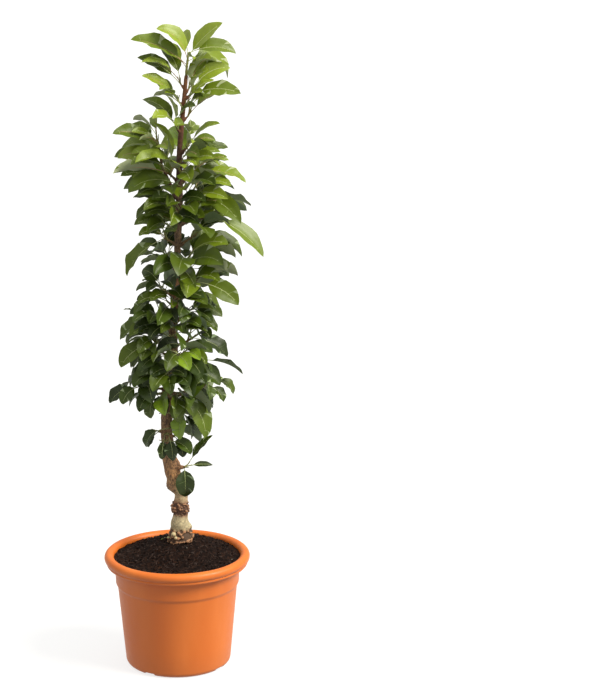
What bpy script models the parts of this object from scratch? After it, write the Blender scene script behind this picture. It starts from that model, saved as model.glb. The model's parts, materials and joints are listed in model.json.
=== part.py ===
"""A dwarf columnar apple tree in a round nursery pot, at its real size.

Metres, +Z up. The origin is the centre of the pot's underside, on the hub that
stands on the ground. +X is to the right as the tree is looked at from the front,
and +Y is away from the viewer. A bearing of 0 degrees is +X and 90 is +Y.
"""

import math
import random
from collections import namedtuple

import bmesh
import bpy
from mathutils import Vector
from mathutils.bvhtree import BVHTree

# Clearance between pieces that rest on each other.
CLEAR = 0.0003

# The pot: a ten litre container of 280 mm across the rim.
POT_HEIGHT = 0.2227
RIM_RADIUS = 0.140
LIP_ROLL = 0.0091
BEAD_ROLL = 0.0034
BEAD_RADIUS = 0.1325
BEAD_HEIGHT = 0.2030
COLLAR_RADIUS = 0.1200
COLLAR_TOP = 0.1960
COLLAR_BOTTOM = 0.1655
COLLAR_TAPER = 0.0012
WALL_TOP = 0.1560
WALL_TOP_RADIUS = 0.1150
WALL_FOOT_RADIUS = 0.1015
FOOT_CORNER = 0.0120
FOOT_RADIUS = 0.0900
FOOT_WIDTH = 0.0090
HUB_RADIUS = 0.0300
UNDER_RECESS = 0.0030
WALL = 0.0025
FLOOR = 0.0060
POT_SIDES = 32
NOTCH_WIDTH = 0.0260
NOTCH_HEIGHT = 0.0045
NOTCH_BEARINGS = (-126.0, -36.0, 54.0, 144.0)
DRAIN_RADIUS = 0.0060
DRAIN_PLACE = 0.0680

# The compost, mounded round the foot of the tree.
SOIL_EDGE = 0.2130
SOIL_CROWN = 0.2350
MOUND_PLATEAU = 0.0300
SOIL_SEED = 5
SOIL_LUMP = 0.0022

# The trunk: height above the ground, shift to the right, radius.
TRUNK_BACK = 0.030
TRUNK_STATIONS = (
    (0.2353, 0.0058, 0.0178),
    (0.2560, 0.0055, 0.0172),
    (0.2700, 0.0055, 0.0172),
    (0.2860, 0.0072, 0.0146),
    (0.3020, 0.0076, 0.0148),
    (0.3180, 0.0092, 0.0130),
    (0.3290, 0.0105, 0.0130),
    (0.3400, 0.0010, 0.0152),
    (0.3610, -0.0036, 0.0155),
    (0.3810, -0.0092, 0.0148),
    (0.4010, -0.0132, 0.0132),
    (0.4570, -0.0172, 0.0114),
    (0.5340, -0.0136, 0.0112),
    (0.6050, -0.0040, 0.0100),
    (0.6770, -0.0009, 0.0078),
    (0.7270, 0.0045, 0.0078),
    (0.7580, 0.0068, 0.0085),
    (0.8080, 0.0084, 0.0066),
    (0.9000, 0.0133, 0.0070),
    (1.0010, 0.0146, 0.0052),
    (1.0800, 0.0230, 0.0044),
    (1.1360, 0.0288, 0.0034),
)
TRUNK_SIDES = 12
LOW_STEP = 0.0080
HIGH_STEP = 0.0280
GNARLED_BELOW = 0.4100

# Burr knots: height, bearing, half height, bulge.
BURRS = (
    (0.2400, 215.0, 0.0110, 0.0080),
    (0.2420, 295.0, 0.0100, 0.0060),
    (0.2480, 350.0, 0.0110, 0.0070),
    (0.2620, 15.0, 0.0080, 0.0070),
    (0.2460, 110.0, 0.0110, 0.0060),
    (0.3060, 190.0, 0.0090, 0.0040),
    (0.2980, 325.0, 0.0080, 0.0040),
    (0.3040, 70.0, 0.0090, 0.0040),
    (0.3460, 205.0, 0.0090, 0.0035),
    (0.3900, 350.0, 0.0120, 0.0050),
    (0.7330, 240.0, 0.0120, 0.0022),
)
BURR_SPREAD = 42.0

# The crown's outline, as height, left edge and right edge.
CROWN_OUTLINE = (
    (0.320, -0.040, 0.035),
    (0.380, -0.050, 0.035),
    (0.430, -0.066, 0.046),
    (0.462, -0.062, 0.064),
    (0.485, -0.042, 0.092),
    (0.515, -0.112, 0.092),
    (0.570, -0.100, 0.100),
    (0.630, -0.100, 0.070),
    (0.690, -0.100, 0.095),
    (0.730, -0.075, 0.110),
    (0.785, -0.090, 0.160),
    (0.830, -0.070, 0.165),
    (0.885, -0.085, 0.145),
    (0.940, -0.108, 0.128),
    (0.985, -0.116, 0.100),
    (1.010, -0.090, 0.086),
    (1.040, -0.082, 0.076),
    (1.062, -0.074, 0.090),
    (1.080, -0.046, 0.095),
    (1.105, -0.065, 0.128),
    (1.160, -0.082, 0.120),
    (1.210, -0.078, 0.105),
    (1.240, -0.050, 0.098),
)
OUTLINE_SLACK = 0.004
CROWN_DEPTH = 0.115

# Boughs: name, height on the trunk, bearing, rise, length, root and tip radius.
BOUGHS = (
    ("bough_left_shoot", 0.925, 200.0, 66.0, 0.060, 0.0036, 0.0026),
    ("bough_left_twig", 0.684, 184.0, 6.0, 0.046, 0.0026, 0.0017),
    ("bough_right_high", 0.862, 356.0, 14.0, 0.036, 0.0034, 0.0024),
    ("bough_right_mid", 0.526, 350.0, 20.0, 0.052, 0.0040, 0.0028),
    ("bough_right_low", 0.3860, 330.0, 8.0, 0.006, 0.0034, 0.0026),
)
BOUGH_SIDES = 6
TWIG_SIDES = 3

# Masses of foliage on the boughs: bough, stem length, rise, leaves, and where the tips of the
# first leaves come. Each tip is a bearing, a reach from the trunk's axis and a height.
BOUGH_MASSES = (
    ("bough_left_shoot", 0.046, 80.0, 10, (200.0, 0.130, 1.036)),
    ("bough_left_twig", 0.018, 8.0, 3, (184.0, 0.096, 0.696)),
    ("bough_right_high", 0.024, 10.0, 5, (356.0, 0.158, 0.795)),
    ("bough_right_mid", 0.016, 40.0, 10, (350.0, 0.106, 0.516), (342.0, 0.122, 0.475)),
    ("bough_right_low", 0.008, 14.0, 3),
)

# Spurs on the trunk: height, bearing, stem length, leaves, and the tips of the first leaves.
SPURS = (
    (0.4560, 196.0, 0.004, 3, (196.0, 0.037, 0.426)),
    (0.4540, 262.0, 0.008, 5, (256.0, 0.040, 0.410), (284.0, 0.044, 0.408)),
    (0.4480, 318.0, 0.008, 4, (318.0, 0.040, 0.410)),
    (0.5100, 316.0, 0.018, 5, (316.0, 0.062, 0.450), (294.0, 0.055, 0.452)),
    (0.5320, 212.0, 0.014, 4, (212.0, 0.038, 0.486)),
    (0.5340, 332.0, 0.030, 5, (332.0, 0.078, 0.450), (290.0, 0.052, 0.486)),
    (0.5400, 184.0, 0.046, 7, (184.0, 0.112, 0.514)),
    (0.5850, 350.0, 0.052, 5, (350.0, 0.138, 0.571)),
    (0.6050, 160.0, 0.022, 5, (160.0, 0.080, 0.574), (200.0, 0.062, 0.545)),
    (0.6240, 196.0, 0.028, 6, (196.0, 0.102, 0.589)),
    (0.6260, 14.0, 0.034, 6, (14.0, 0.108, 0.593)),
    (0.6730, 172.0, 0.030, 5, (172.0, 0.103, 0.632)),
    (0.6780, 346.0, 0.020, 6, (346.0, 0.084, 0.654)),
    (0.7120, 26.0, 0.022, 5, (26.0, 0.095, 0.677)),
    (0.7250, 204.0, 0.018, 6, (204.0, 0.086, 0.694)),
    (0.7360, 344.0, 0.036, 5, (344.0, 0.121, 0.708)),
    (0.7600, 30.0, 0.024, 5, (30.0, 0.115, 0.744)),
    (0.7860, 340.0, 0.018, 5, (340.0, 0.093, 0.783)),
    (0.7850, 158.0, 0.014, 6, (158.0, 0.075, 0.774)),
    (0.8220, 10.0, 0.034, 5, (10.0, 0.123, 0.789)),
    (0.8240, 190.0, 0.022, 5, (190.0, 0.097, 0.762)),
    (0.8500, 216.0, 0.010, 5, (216.0, 0.070, 0.846)),
    (0.8880, 12.0, 0.044, 6, (12.0, 0.139, 0.885), (338.0, 0.122, 0.866)),
    (0.8980, 196.0, 0.016, 6, (196.0, 0.084, 0.874)),
    (0.9090, 330.0, 0.020, 5, (330.0, 0.104, 0.914)),
    (0.9190, 150.0, 0.026, 5, (150.0, 0.122, 0.914)),
    (0.9420, 352.0, 0.034, 6, (352.0, 0.125, 0.938)),
    (0.9440, 200.0, 0.032, 6, (200.0, 0.130, 0.962), (214.0, 0.058, 1.054)),
    (0.9700, 160.0, 0.030, 5, (160.0, 0.130, 0.978)),
    (0.9740, 20.0, 0.020, 6, (20.0, 0.098, 0.996)),
    (0.9980, 335.0, 0.012, 4, (335.0, 0.083, 1.052)),
    (1.0360, 216.0, 0.006, 3, (216.0, 0.032, 1.102)),
    (1.0580, 12.0, 0.010, 3, (12.0, 0.076, 1.102)),
    (1.0860, 196.0, 0.008, 3, (196.0, 0.080, 1.139)),
    (1.0980, 344.0, 0.010, 3, (344.0, 0.108, 1.106)),
    (1.1100, 28.0, 0.007, 3, (28.0, 0.068, 1.159)),
    (1.1180, 176.0, 0.007, 3, (176.0, 0.088, 1.169)),
)
SPUR_RADIUS = 0.0024
LEADER_ABOVE = 1.030
LEADER_SPUR_RADIUS = 0.0016

# More spurs stand to the front and the back of the trunk: height and bearing.
FACING_SPURS = (
    (0.5740, 296.0),
    (0.6060, 304.0),
    (0.6400, 96.0),
    (0.6580, 278.0),
    (0.7040, 252.0),
    (0.7700, 288.0),
    (0.8400, 82.0),
    (0.8780, 262.0),
    (0.9520, 280.0),
)
VIEWER = 270.0
FACING_STEM = 0.018
FACING_LEAVES = 6
GOLDEN_SHARE = 0.618
LEAF_SWING = 112.0
UNDERSIDE_SHARE = 0.2
FOLDS = (12.0, 30.0)
ROLLS = (16.0, 58.0)
LEAF_REACH = 0.080

# The tuft on the trunk's tip, and the leaves of the lowest twig: bearing, reach and height of the
# leaf's tip, the angle it bends down through, width over length, the stalk's length and the roll.
TUFT_STEM = 0.030
TUFT_LEAVES = (
    (190.0, 0.055, 1.2230, 80.0, 0.52, 0.016, -44.0),
    (350.0, 0.069, 1.2340, 24.0, 0.54, 0.014, 42.0),
    (4.0, 0.091, 1.1760, 60.0, 0.50, 0.020, 44.0),
    (186.0, 0.102, 1.2040, 42.0, 0.46, 0.020, -42.0),
    (240.0, 0.014, 1.2120, 20.0, 0.44, 0.010, -45.0),
    (95.0, 0.062, 1.2080, 56.0, 0.54, 0.018, -40.0),
    (142.0, 0.074, 1.1840, 62.0, 0.52, 0.020, -20.0),
    (38.0, 0.096, 1.1200, 112.0, 0.46, 0.020, 48.0),
    (290.0, 0.040, 1.1700, 70.0, 0.56, 0.010, -42.0),
)
LOW_TWIG_LEAVES = (
    (352.0, 0.082, 0.3890, 30.0, 0.34, 0.022, 47.0),
    (350.0, 0.083, 0.4500, 18.0, 0.44, 0.018, 34.0),
    (322.0, 0.034, 0.3295, 60.0, 0.78, 0.006, 8.0),
)

# Habit by height: height, spur's rise, leaf's start slope, end slope, blade length, width over length.
LEAF_HABIT = (
    (0.40, 4.0, 0.0, -84.0, 0.050, 0.80),
    (0.53, 6.0, 8.0, -74.0, 0.058, 0.72),
    (0.62, 22.0, 24.0, -56.0, 0.070, 0.62),
    (0.75, 30.0, 32.0, -46.0, 0.078, 0.56),
    (0.90, 34.0, 40.0, -32.0, 0.086, 0.50),
    (1.05, 44.0, 48.0, -20.0, 0.090, 0.46),
    (1.13, 50.0, 56.0, -10.0, 0.092, 0.45),
)
PETIOLE = 0.022
LONGEST_PETIOLE_SHARE = 0.30
LEAD_BEND = (0.5, 0.8)
PETIOLE_RADIUS = 0.0010
PETIOLE_FOOT_RADIUS = 0.0005
LEAF_THICKNESS = 0.0014
LEAF_TRIES = 22
SHORTEST_LEAF = 0.040
SEED = 41

PETIOLE_STEPS = 4
BLADE_STEPS = 12
BLADE_SECTIONS = (2, 6, 10)
TEST_SPREAD = 0.0010

Leaf = namedtuple("Leaf", "root heading start end roll petiole length width fold")
Twig = namedtuple("Twig", "foot tip foot_radius tip_radius")
Habit = namedtuple("Habit", "rise start end length width_share")
Mass = namedtuple("Mass", "name twigs bearing count habit tips own_leaves random leaves")


def direction(bearing, slope):
    """A unit vector along a bearing, at a slope above the level, both in degrees."""
    across = math.cos(math.radians(slope))
    return Vector(
        (
            across * math.cos(math.radians(bearing)),
            across * math.sin(math.radians(bearing)),
            math.sin(math.radians(slope)),
        )
    )


def between(rows, height):
    """The values beside a height in rows that start with a height, joined by straight lines."""
    if height <= rows[0][0]:
        return rows[0][1:]
    for low, high in zip(rows, rows[1:]):
        if height <= high[0]:
            share = (height - low[0]) / (high[0] - low[0])
            return tuple(a + (b - a) * share for a, b in zip(low[1:], high[1:]))
    return rows[-1][1:]


# The trunk's surface, and points on it.


def trunk_axis(height):
    return Vector((between(TRUNK_STATIONS, height)[0], TRUNK_BACK, height))


def trunk_radius(height, bearing):
    """The trunk's radius, with the burr knots that swell it."""
    radius = between(TRUNK_STATIONS, height)[1]
    for place, side, half_height, bulge in BURRS:
        turn = (bearing - side + 180.0) % 360.0 - 180.0
        away = ((height - place) / half_height) ** 2 + (turn / BURR_SPREAD) ** 2
        radius += bulge * math.exp(-away)
    return radius


def trunk_surface(height, bearing):
    return trunk_axis(height) + trunk_radius(height, bearing) * direction(bearing, 0.0)


# Meshes.


def mesh_object(name, points, faces, material):
    mesh = bpy.data.meshes.new(name)
    mesh.from_pydata([tuple(p) for p in points], [], faces)
    mesh.materials.append(material)
    made = bpy.data.objects.new(name, mesh)
    bpy.context.scene.collection.objects.link(made)
    return made


def material_of(name, colour, roughness):
    made = bpy.data.materials.new(name)
    made.use_nodes = True
    shader = made.node_tree.nodes["Principled BSDF"]
    shader.inputs["Base Color"].default_value = (*colour, 1.0)
    shader.inputs["Roughness"].default_value = roughness
    shader.inputs["Metallic"].default_value = 0.0
    return made


def lofted(rings, tip=None):
    """Points and faces of a closed skin over rings of equal count, with an optional end point."""
    count = len(rings[0])
    points = [p for ring in rings for p in ring]
    faces = [tuple(reversed(range(count)))]
    for k in range(len(rings) - 1):
        for i in range(count):
            j = (i + 1) % count
            faces.append((k * count + i, k * count + j, (k + 1) * count + j, (k + 1) * count + i))
    last = (len(rings) - 1) * count
    if tip is None:
        faces.append(tuple(range(last, last + count)))
    else:
        points.append(tip)
        faces += [(last + i, last + (i + 1) % count, len(points) - 1) for i in range(count)]
    return points, faces


def ring_round(centre, axis, radius, sides):
    """Points round an axis, in right-handed order about it."""
    across = axis.orthogonal().normalized()
    beside = axis.cross(across).normalized()
    turns = [2.0 * math.pi * i / sides for i in range(sides)]
    return [centre + radius * (math.cos(a) * across + math.sin(a) * beside) for a in turns]


def twig_shape(twig, sides, spread=0.0):
    axis = (twig.tip - twig.foot).normalized()
    foot = ring_round(twig.foot, axis, twig.foot_radius + spread, sides)
    tip = ring_round(twig.tip, axis, twig.tip_radius + spread, sides)
    return lofted([foot, tip])


def trunk_shape():
    heights = []
    height = TRUNK_STATIONS[0][0]
    while height < TRUNK_STATIONS[-1][0]:
        heights.append(height)
        height += LOW_STEP if height < GNARLED_BELOW else HIGH_STEP
    heights.append(TRUNK_STATIONS[-1][0])
    bearings = [360.0 * i / TRUNK_SIDES for i in range(TRUNK_SIDES)]
    return lofted([[trunk_surface(h, b) for b in bearings] for h in heights])


# Leaves.


def leaf_frames(leaf, petiole_steps=PETIOLE_STEPS, blade_steps=BLADE_STEPS):
    """Points down the leaf with their forward, side and upper directions, root to tip."""
    total = leaf.petiole + leaf.length
    steps = [leaf.petiole / petiole_steps] * petiole_steps + [leaf.length / blade_steps] * blade_steps
    point, gone, frames = leaf.root.copy(), 0.0, []
    for step in [*steps, 0.0]:
        slope = leaf.start + (leaf.end - leaf.start) * (gone / total) ** 1.4
        forward = direction(leaf.heading, slope)
        level_side = direction(leaf.heading + 90.0, 0.0)
        upper = forward.cross(level_side)
        roll = math.radians(leaf.roll)
        side = level_side * math.cos(roll) + upper * math.sin(roll)
        frames.append((point.copy(), forward, side, forward.cross(side)))
        point += forward * step
        gone += step
    return frames


def half_width(leaf, share):
    """Half the blade's width at a share of its length, widest a little below the middle."""
    return leaf.width / 2.0 * math.sin(math.pi * share**0.88) ** 0.78


def leaf_section(frame, half, fold, thickness):
    """Four points round a folded blade or a round stalk: left edge, underside, right edge, top."""
    centre, _, side, upper = frame
    out, up = half * math.cos(fold), half * math.sin(fold)
    return [
        centre + side * out + upper * up,
        centre + upper * thickness / 2.0,
        centre - side * out + upper * up,
        centre - upper * thickness / 2.0,
    ]


def leaf_shape(leaf, part="whole", spread=0.0):
    """A closed leaf on its stalk. Parts and a spread give the slightly fat shapes used for testing room."""
    frames = leaf_frames(leaf)
    stalk_foot, stalk_end = PETIOLE_FOOT_RADIUS + spread, PETIOLE_RADIUS + spread
    sections = []
    if part != "blade":
        sections.append(leaf_section(frames[0], stalk_foot, 0.0, 2.0 * stalk_foot))
    sections.append(leaf_section(frames[PETIOLE_STEPS], stalk_end, 0.0, 2.0 * stalk_end))
    if part == "petiole":
        return lofted(sections)
    for step in BLADE_SECTIONS:
        half = half_width(leaf, step / BLADE_STEPS) + spread
        frame = frames[PETIOLE_STEPS + step]
        fold = math.radians(leaf.fold)
        sections.append(leaf_section(frame, half, fold, LEAF_THICKNESS + 2.0 * spread))
    tip, forward = frames[-1][:2]
    return lofted(sections, tip + forward * spread)


def triangles_tree(points, faces):
    return BVHTree.FromPolygons([tuple(p) for p in points], faces)


def box_of(points):
    return [(min(p[k] for p in points), max(p[k] for p in points)) for k in range(3)]


def apart(a, b):
    return any(p[1] < q[0] or q[1] < p[0] for p, q in zip(a, b))


class Room:
    """What already stands in the crown, and whether a new shape would touch it."""

    def __init__(self):
        self.held = []

    def add(self, shape, kind, owner):
        self.held.append((box_of(shape[0]), triangles_tree(*shape), (kind, owner)))

    def free(self, shape, grown_from=()):
        """True where a shape touches nothing but the pieces it grows from."""
        box, tree = box_of(shape[0]), triangles_tree(*shape)
        for other_box, other_tree, other in self.held:
            if other in grown_from or apart(box, other_box):
                continue
            if tree.overlap(other_tree):
                return False
        return True


def crown_side(height):
    """The middle and half width of the crown at a height."""
    left, right = between(CROWN_OUTLINE, height)
    return (left + right) / 2.0, (right - left) / 2.0


def outside_share(point, slack=OUTLINE_SLACK):
    """Over 1 where a point lies outside the crown's oval outline at its height."""
    middle, half = crown_side(point.z)
    across = (point.x - middle) / (half + slack)
    deep = (point.y - TRUNK_BACK) / (min(half, CROWN_DEPTH) + slack)
    return across * across + deep * deep


def distance_to_outline(point, heading):
    """How far a level line from a point runs before it leaves the crown's outline."""
    step, gone = 0.004, 0.0
    ahead = direction(heading, 0.0)
    while gone < 0.2 and outside_share(point + ahead * gone, 0.0) < 1.0:
        gone += step
    return gone


def leaf_to_tip(root, tip, bend, petiole, widest, width_share, roll, fold):
    """The leaf that springs from a root, bends down by an angle and ends at a tip."""
    chord = tip - root
    level = math.hypot(chord.x, chord.y)
    heading = math.degrees(math.atan2(chord.y, chord.x))
    trial = Leaf(Vector(), 0.0, 0.0, -bend, 0.0, 0.25, 0.75, 1.0, 0.0)
    reached = leaf_frames(trial)[-1][0]
    turn = math.atan2(chord.z, level) - math.atan2(reached.z, reached.x)
    start = math.degrees(turn)
    total = chord.length / reached.length
    petiole = min(petiole, LONGEST_PETIOLE_SHARE * total)
    length = total - petiole
    width = min(length, widest) * width_share
    return Leaf(root, heading, start, start - bend, roll, petiole, length, width, fold)


def outward_roll(root, heading, dice):
    """The roll that turns a leaf's face out of the crown, and now and then the other way."""
    middle = root + direction(heading, 0.0) * LEAF_REACH / 2.0
    outward = middle - trunk_axis(root.z) + 0.02 * direction(VIEWER, 0.0)
    side = 1.0 if outward.dot(direction(heading + 90.0, 0.0)) < 0.0 else -1.0
    if dice.random() < UNDERSIDE_SHARE:
        side = -side
    return side * dice.uniform(*ROLLS)


def leaf_by_dice(mass, root, turn, fraction):
    """A leaf of the mass's habit that arches out to the crown's outline."""
    dice = mass.random
    swing = 2.0 * ((turn * GOLDEN_SHARE + dice.uniform(-0.1, 0.1)) % 1.0) - 1.0
    heading = mass.bearing + LEAF_SWING * swing
    start = mass.habit.start + 18.0 * (fraction - 0.4) + dice.uniform(-14.0, 14.0)
    end = mass.habit.end + 26.0 * (fraction - 0.5) + dice.uniform(-16.0, 16.0)
    petiole = PETIOLE * dice.uniform(0.75, 1.25)
    level_share = math.cos(math.radians((start + end) / 2.0 * 0.8))
    wanted = distance_to_outline(root, heading) * dice.uniform(0.86, 1.02) / max(level_share, 0.35)
    longest = mass.habit.length * dice.uniform(0.86, 1.10)
    length = min(max(wanted - petiole, SHORTEST_LEAF), longest)
    width = length * mass.habit.width_share * dice.uniform(0.90, 1.10)
    roll = outward_roll(root, heading, dice)
    return Leaf(root, heading, start, end, roll, petiole, length, width, dice.uniform(*FOLDS))


def new_leaf(mass, turn, attempt):
    """The next leaf of a mass: one set by hand, one at the crown's edge, or one by its dice."""
    dice = mass.random
    twig = mass.twigs[turn % len(mass.twigs)]
    along = 0.94 - 0.26 * (turn // len(mass.twigs)) + dice.uniform(-0.05, 0.03)
    root = twig.foot.lerp(twig.tip, max(along, 0.35))
    loose = 0.002 * attempt * Vector([dice.uniform(-1.0, 1.0) for _ in range(3)])
    petiole = PETIOLE * dice.uniform(0.85, 1.1)
    fold = dice.uniform(*FOLDS)
    widest = mass.habit.length
    if turn < len(mass.own_leaves):
        bearing, reach, tip_height, bend, share, petiole, roll = mass.own_leaves[turn]
        tip = tip_place(twig.foot.z, (bearing, reach, tip_height)) + loose
        return leaf_to_tip(root, tip, bend, petiole, widest, share, roll, fold)
    if turn < len(mass.tips) and attempt < LEAF_TRIES / 2:
        bend = (mass.habit.start - mass.habit.end) * dice.uniform(*LEAD_BEND)
        roll = outward_roll(root, mass.tips[turn][0], dice)
        tip = tip_place(twig.foot.z, mass.tips[turn]) + loose
        return leaf_to_tip(root, tip, bend, petiole, widest, mass.habit.width_share, roll, fold)
    return leaf_by_dice(mass, root, turn, (turn + 0.5) / mass.count)


def leaf_fits(leaf, room, owner, within):
    """True where a leaf keeps to the crown's outline, if asked, and touches nothing."""
    points = leaf_shape(leaf)[0]
    if within and any(outside_share(p) > 1.0 for p in points):
        return False
    if min(p.z for p in points) < SOIL_CROWN:
        return False
    blade = leaf_shape(leaf, "blade", TEST_SPREAD)
    petiole = leaf_shape(leaf, "petiole", TEST_SPREAD / 2.0)
    own_twigs = (("twig", owner), ("petiole", owner))
    return room.free(blade) and room.free(petiole, own_twigs)


def twigs_on(stem, bearing, count, dice):
    """The stem itself and the short twigs that fork from it, more of them where it bears more leaves."""
    length = (stem.tip - stem.foot).length
    slope = math.degrees(math.asin((stem.tip - stem.foot).normalized().z))
    twigs = [stem]
    forks = 0 if count < 3 else 1 if count < 6 else 2
    for place, side in ((0.62, 52.0), (0.80, -48.0))[:forks]:
        foot = stem.foot.lerp(stem.tip, place)
        ahead = direction(bearing + side + dice.uniform(-12.0, 12.0), min(slope + 12.0, 80.0))
        reach = min(0.5 * length, 0.016) + dice.uniform(0.002, 0.005)
        twigs.append(Twig(foot, foot + ahead * reach, stem.tip_radius * 0.95, stem.tip_radius * 0.8))
    return twigs


def stem_from(foot, bearing, rise, length, foot_radius, tip_radius):
    return Twig(foot, foot + direction(bearing, rise) * length, foot_radius, tip_radius)


def seated(twig, tree, sides):
    """The twig slid along itself until its foot stands clear of what carries it by the set gap."""
    axis = (twig.tip - twig.foot).normalized()
    for _ in range(12):
        ring = ring_round(twig.foot, axis, twig.foot_radius, sides)
        centre = (tree.find_nearest(twig.foot)[0] - twig.foot).length
        nearest = min([centre] + [tree.find_nearest(p)[3] for p in ring])
        shift = axis * (CLEAR - nearest)
        twig = twig._replace(foot=twig.foot + shift, tip=twig.tip + shift)
    return twig


def on_trunk(height, bearing, rise, length, foot_radius, tip_radius, trunk_tree, sides):
    """A limb whose foot stands just clear of the bark."""
    out = trunk_surface(height, bearing) + direction(bearing, 0.0) * 2.0 * foot_radius
    limb = stem_from(out, bearing, rise, length, foot_radius, tip_radius)
    return seated(limb, trunk_tree, sides)


def all_boughs(trunk_tree):
    boughs = {}
    for name, height, bearing, rise, length, foot_radius, tip_radius in BOUGHS:
        limb = on_trunk(
            height, bearing, rise, length, foot_radius, tip_radius, trunk_tree, BOUGH_SIDES
        )
        boughs[name] = (limb, bearing)
    return boughs


def new_mass(room, name, carrier, make_stem, bearing, count, tips, seed, own_leaves=()):
    """A mass whose twigs find room: its stem is turned on round the limb until they do."""
    for turned in (0.0, 24.0, -24.0, 48.0, -48.0, 72.0, -72.0):
        dice = random.Random(seed)
        stem = make_stem(bearing + turned)
        twigs = twigs_on(stem, bearing + turned, count, dice)
        shapes = [twig_shape(twig, TWIG_SIDES, TEST_SPREAD) for twig in twigs]
        grown_from = (("limb", carrier),)
        if room.free(shapes[0], grown_from) and all(room.free(shape) for shape in shapes[1:]):
            break
    for shape in shapes:
        room.add(shape, "twig", name)
    habit = Habit(*between(LEAF_HABIT, stem.tip.z))
    return Mass(name, twigs, bearing + turned, count, habit, tips, own_leaves, dice, [])


def tip_place(height, tip):
    """Where a leaf tip comes: a bearing and a reach from the trunk's axis, and a height of its own."""
    bearing, reach, tip_height = tip
    place = trunk_axis(height) + direction(bearing, 0.0) * reach
    place.z = tip_height
    return place


def bough_masses(room, boughs):
    """The masses carried on the tips of the boughs."""
    masses = []
    for k, (name, length, rise, count, *tips) in enumerate(BOUGH_MASSES):
        limb, bearing = boughs[name]
        axis = (limb.tip - limb.foot).normalized()

        def make_stem(turned):
            ahead = direction(turned, rise)
            clear = CLEAR + limb.tip_radius * math.sin(axis.angle(ahead))
            foot = limb.tip + axis * clear
            return Twig(foot, foot + ahead * length, limb.tip_radius, limb.tip_radius * 0.8)

        label = name.replace("bough", "foliage")
        own = LOW_TWIG_LEAVES if name == "bough_right_low" else ()
        masses.append(new_mass(room, label, name, make_stem, bearing, count, tips, SEED + k, own))
    return masses


def spur_rows():
    """Every spur on the trunk: the ones seen from the front, then the ones facing it and the back."""
    rows = list(SPURS)
    for height, bearing in FACING_SPURS:
        _, start, end, length, _ = between(LEAF_HABIT, height)
        reach = FACING_STEM + 0.9 * (PETIOLE + length)
        tip_height = height + length * math.sin(math.radians(0.4 * start + 0.5 * end))
        rows.append((height, bearing, FACING_STEM, FACING_LEAVES, (bearing, reach, tip_height)))
    return rows


def trunk_masses(room, trunk_tree):
    """The masses set on the trunk itself: its spurs, and the tuft on its tip."""
    masses = []
    for i, (height, first, length, count, *tips) in enumerate(spur_rows()):
        radius = LEADER_SPUR_RADIUS if height > LEADER_ABOVE else SPUR_RADIUS

        def make_stem(bearing):
            radii = (radius, radius * 0.85)
            rise = between(LEAF_HABIT, height)[0]
            return on_trunk(height, bearing, rise, length, *radii, trunk_tree, TWIG_SIDES)

        label = f"foliage_spur_{i + 1:02d}"
        masses.append(new_mass(room, label, "trunk", make_stem, first, count, tips, 100 + SEED + i))
    top = trunk_axis(TRUNK_STATIONS[-1][0]) + Vector((0.0, 0.0, CLEAR))

    def make_tuft_stem(_):
        return Twig(top, top + Vector((0.003, 0.0, TUFT_STEM)), 0.0026, 0.0018)

    own = TUFT_LEAVES
    label = "foliage_tuft"
    masses.append(new_mass(room, label, "trunk", make_tuft_stem, 0.0, len(own), (), SEED, own))
    return masses


def grow_leaves(masses, room):
    """Leaves are dealt to the masses in turn, and one that finds no room after some tries is left out."""
    for turn in range(max(mass.count for mass in masses)):
        for mass in masses:
            if turn >= mass.count:
                continue
            for attempt in range(LEAF_TRIES):
                leaf = new_leaf(mass, turn, attempt)
                free_reach = turn < max(len(mass.tips), len(mass.own_leaves))
                if leaf_fits(leaf, room, mass.name, within=not free_reach):
                    room.add(leaf_shape(leaf, "blade"), "blade", mass.name)
                    room.add(leaf_shape(leaf, "petiole"), "petiole", mass.name)
                    mass.leaves.append(leaf)
                    break


# The solids.


def fused(name, shapes, material):
    """One solid from several that run into each other, joined by a single union."""
    whole = mesh_object(name, *shapes[0], material)
    others = bpy.data.collections.new(name + "_pieces")
    bpy.context.scene.collection.children.link(others)
    for k, shape in enumerate(shapes[1:]):
        piece = mesh_object(f"{name}_piece_{k}", *shape, material)
        bpy.context.scene.collection.objects.unlink(piece)
        others.objects.link(piece)
    union = whole.modifiers.new("union", "BOOLEAN")
    union.operation = "UNION"
    union.operand_type = "COLLECTION"
    union.collection = others
    union.solver = "MANIFOLD"
    graph = bpy.context.evaluated_depsgraph_get()
    joined = bpy.data.meshes.new_from_object(whole.evaluated_get(graph))
    whole.modifiers.clear()
    whole.data = joined
    for piece in list(others.objects):
        bpy.data.objects.remove(piece)
    bpy.data.collections.remove(others)
    return whole


def arc(centre_r, centre_z, radius, first, last, count):
    """Points of a round stretch of a profile, from one angle to another in degrees."""
    turns = [math.radians(first + (last - first) * i / count) for i in range(count + 1)]
    return [(centre_r + radius * math.cos(a), centre_z + radius * math.sin(a)) for a in turns]


def lip_roll():
    """The rolled lip's half section, from the bead under it over the crest to the inner wall."""
    return arc(RIM_RADIUS - LIP_ROLL, POT_HEIGHT - LIP_ROLL, LIP_ROLL, -60.0, 195.0, 6)


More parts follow.
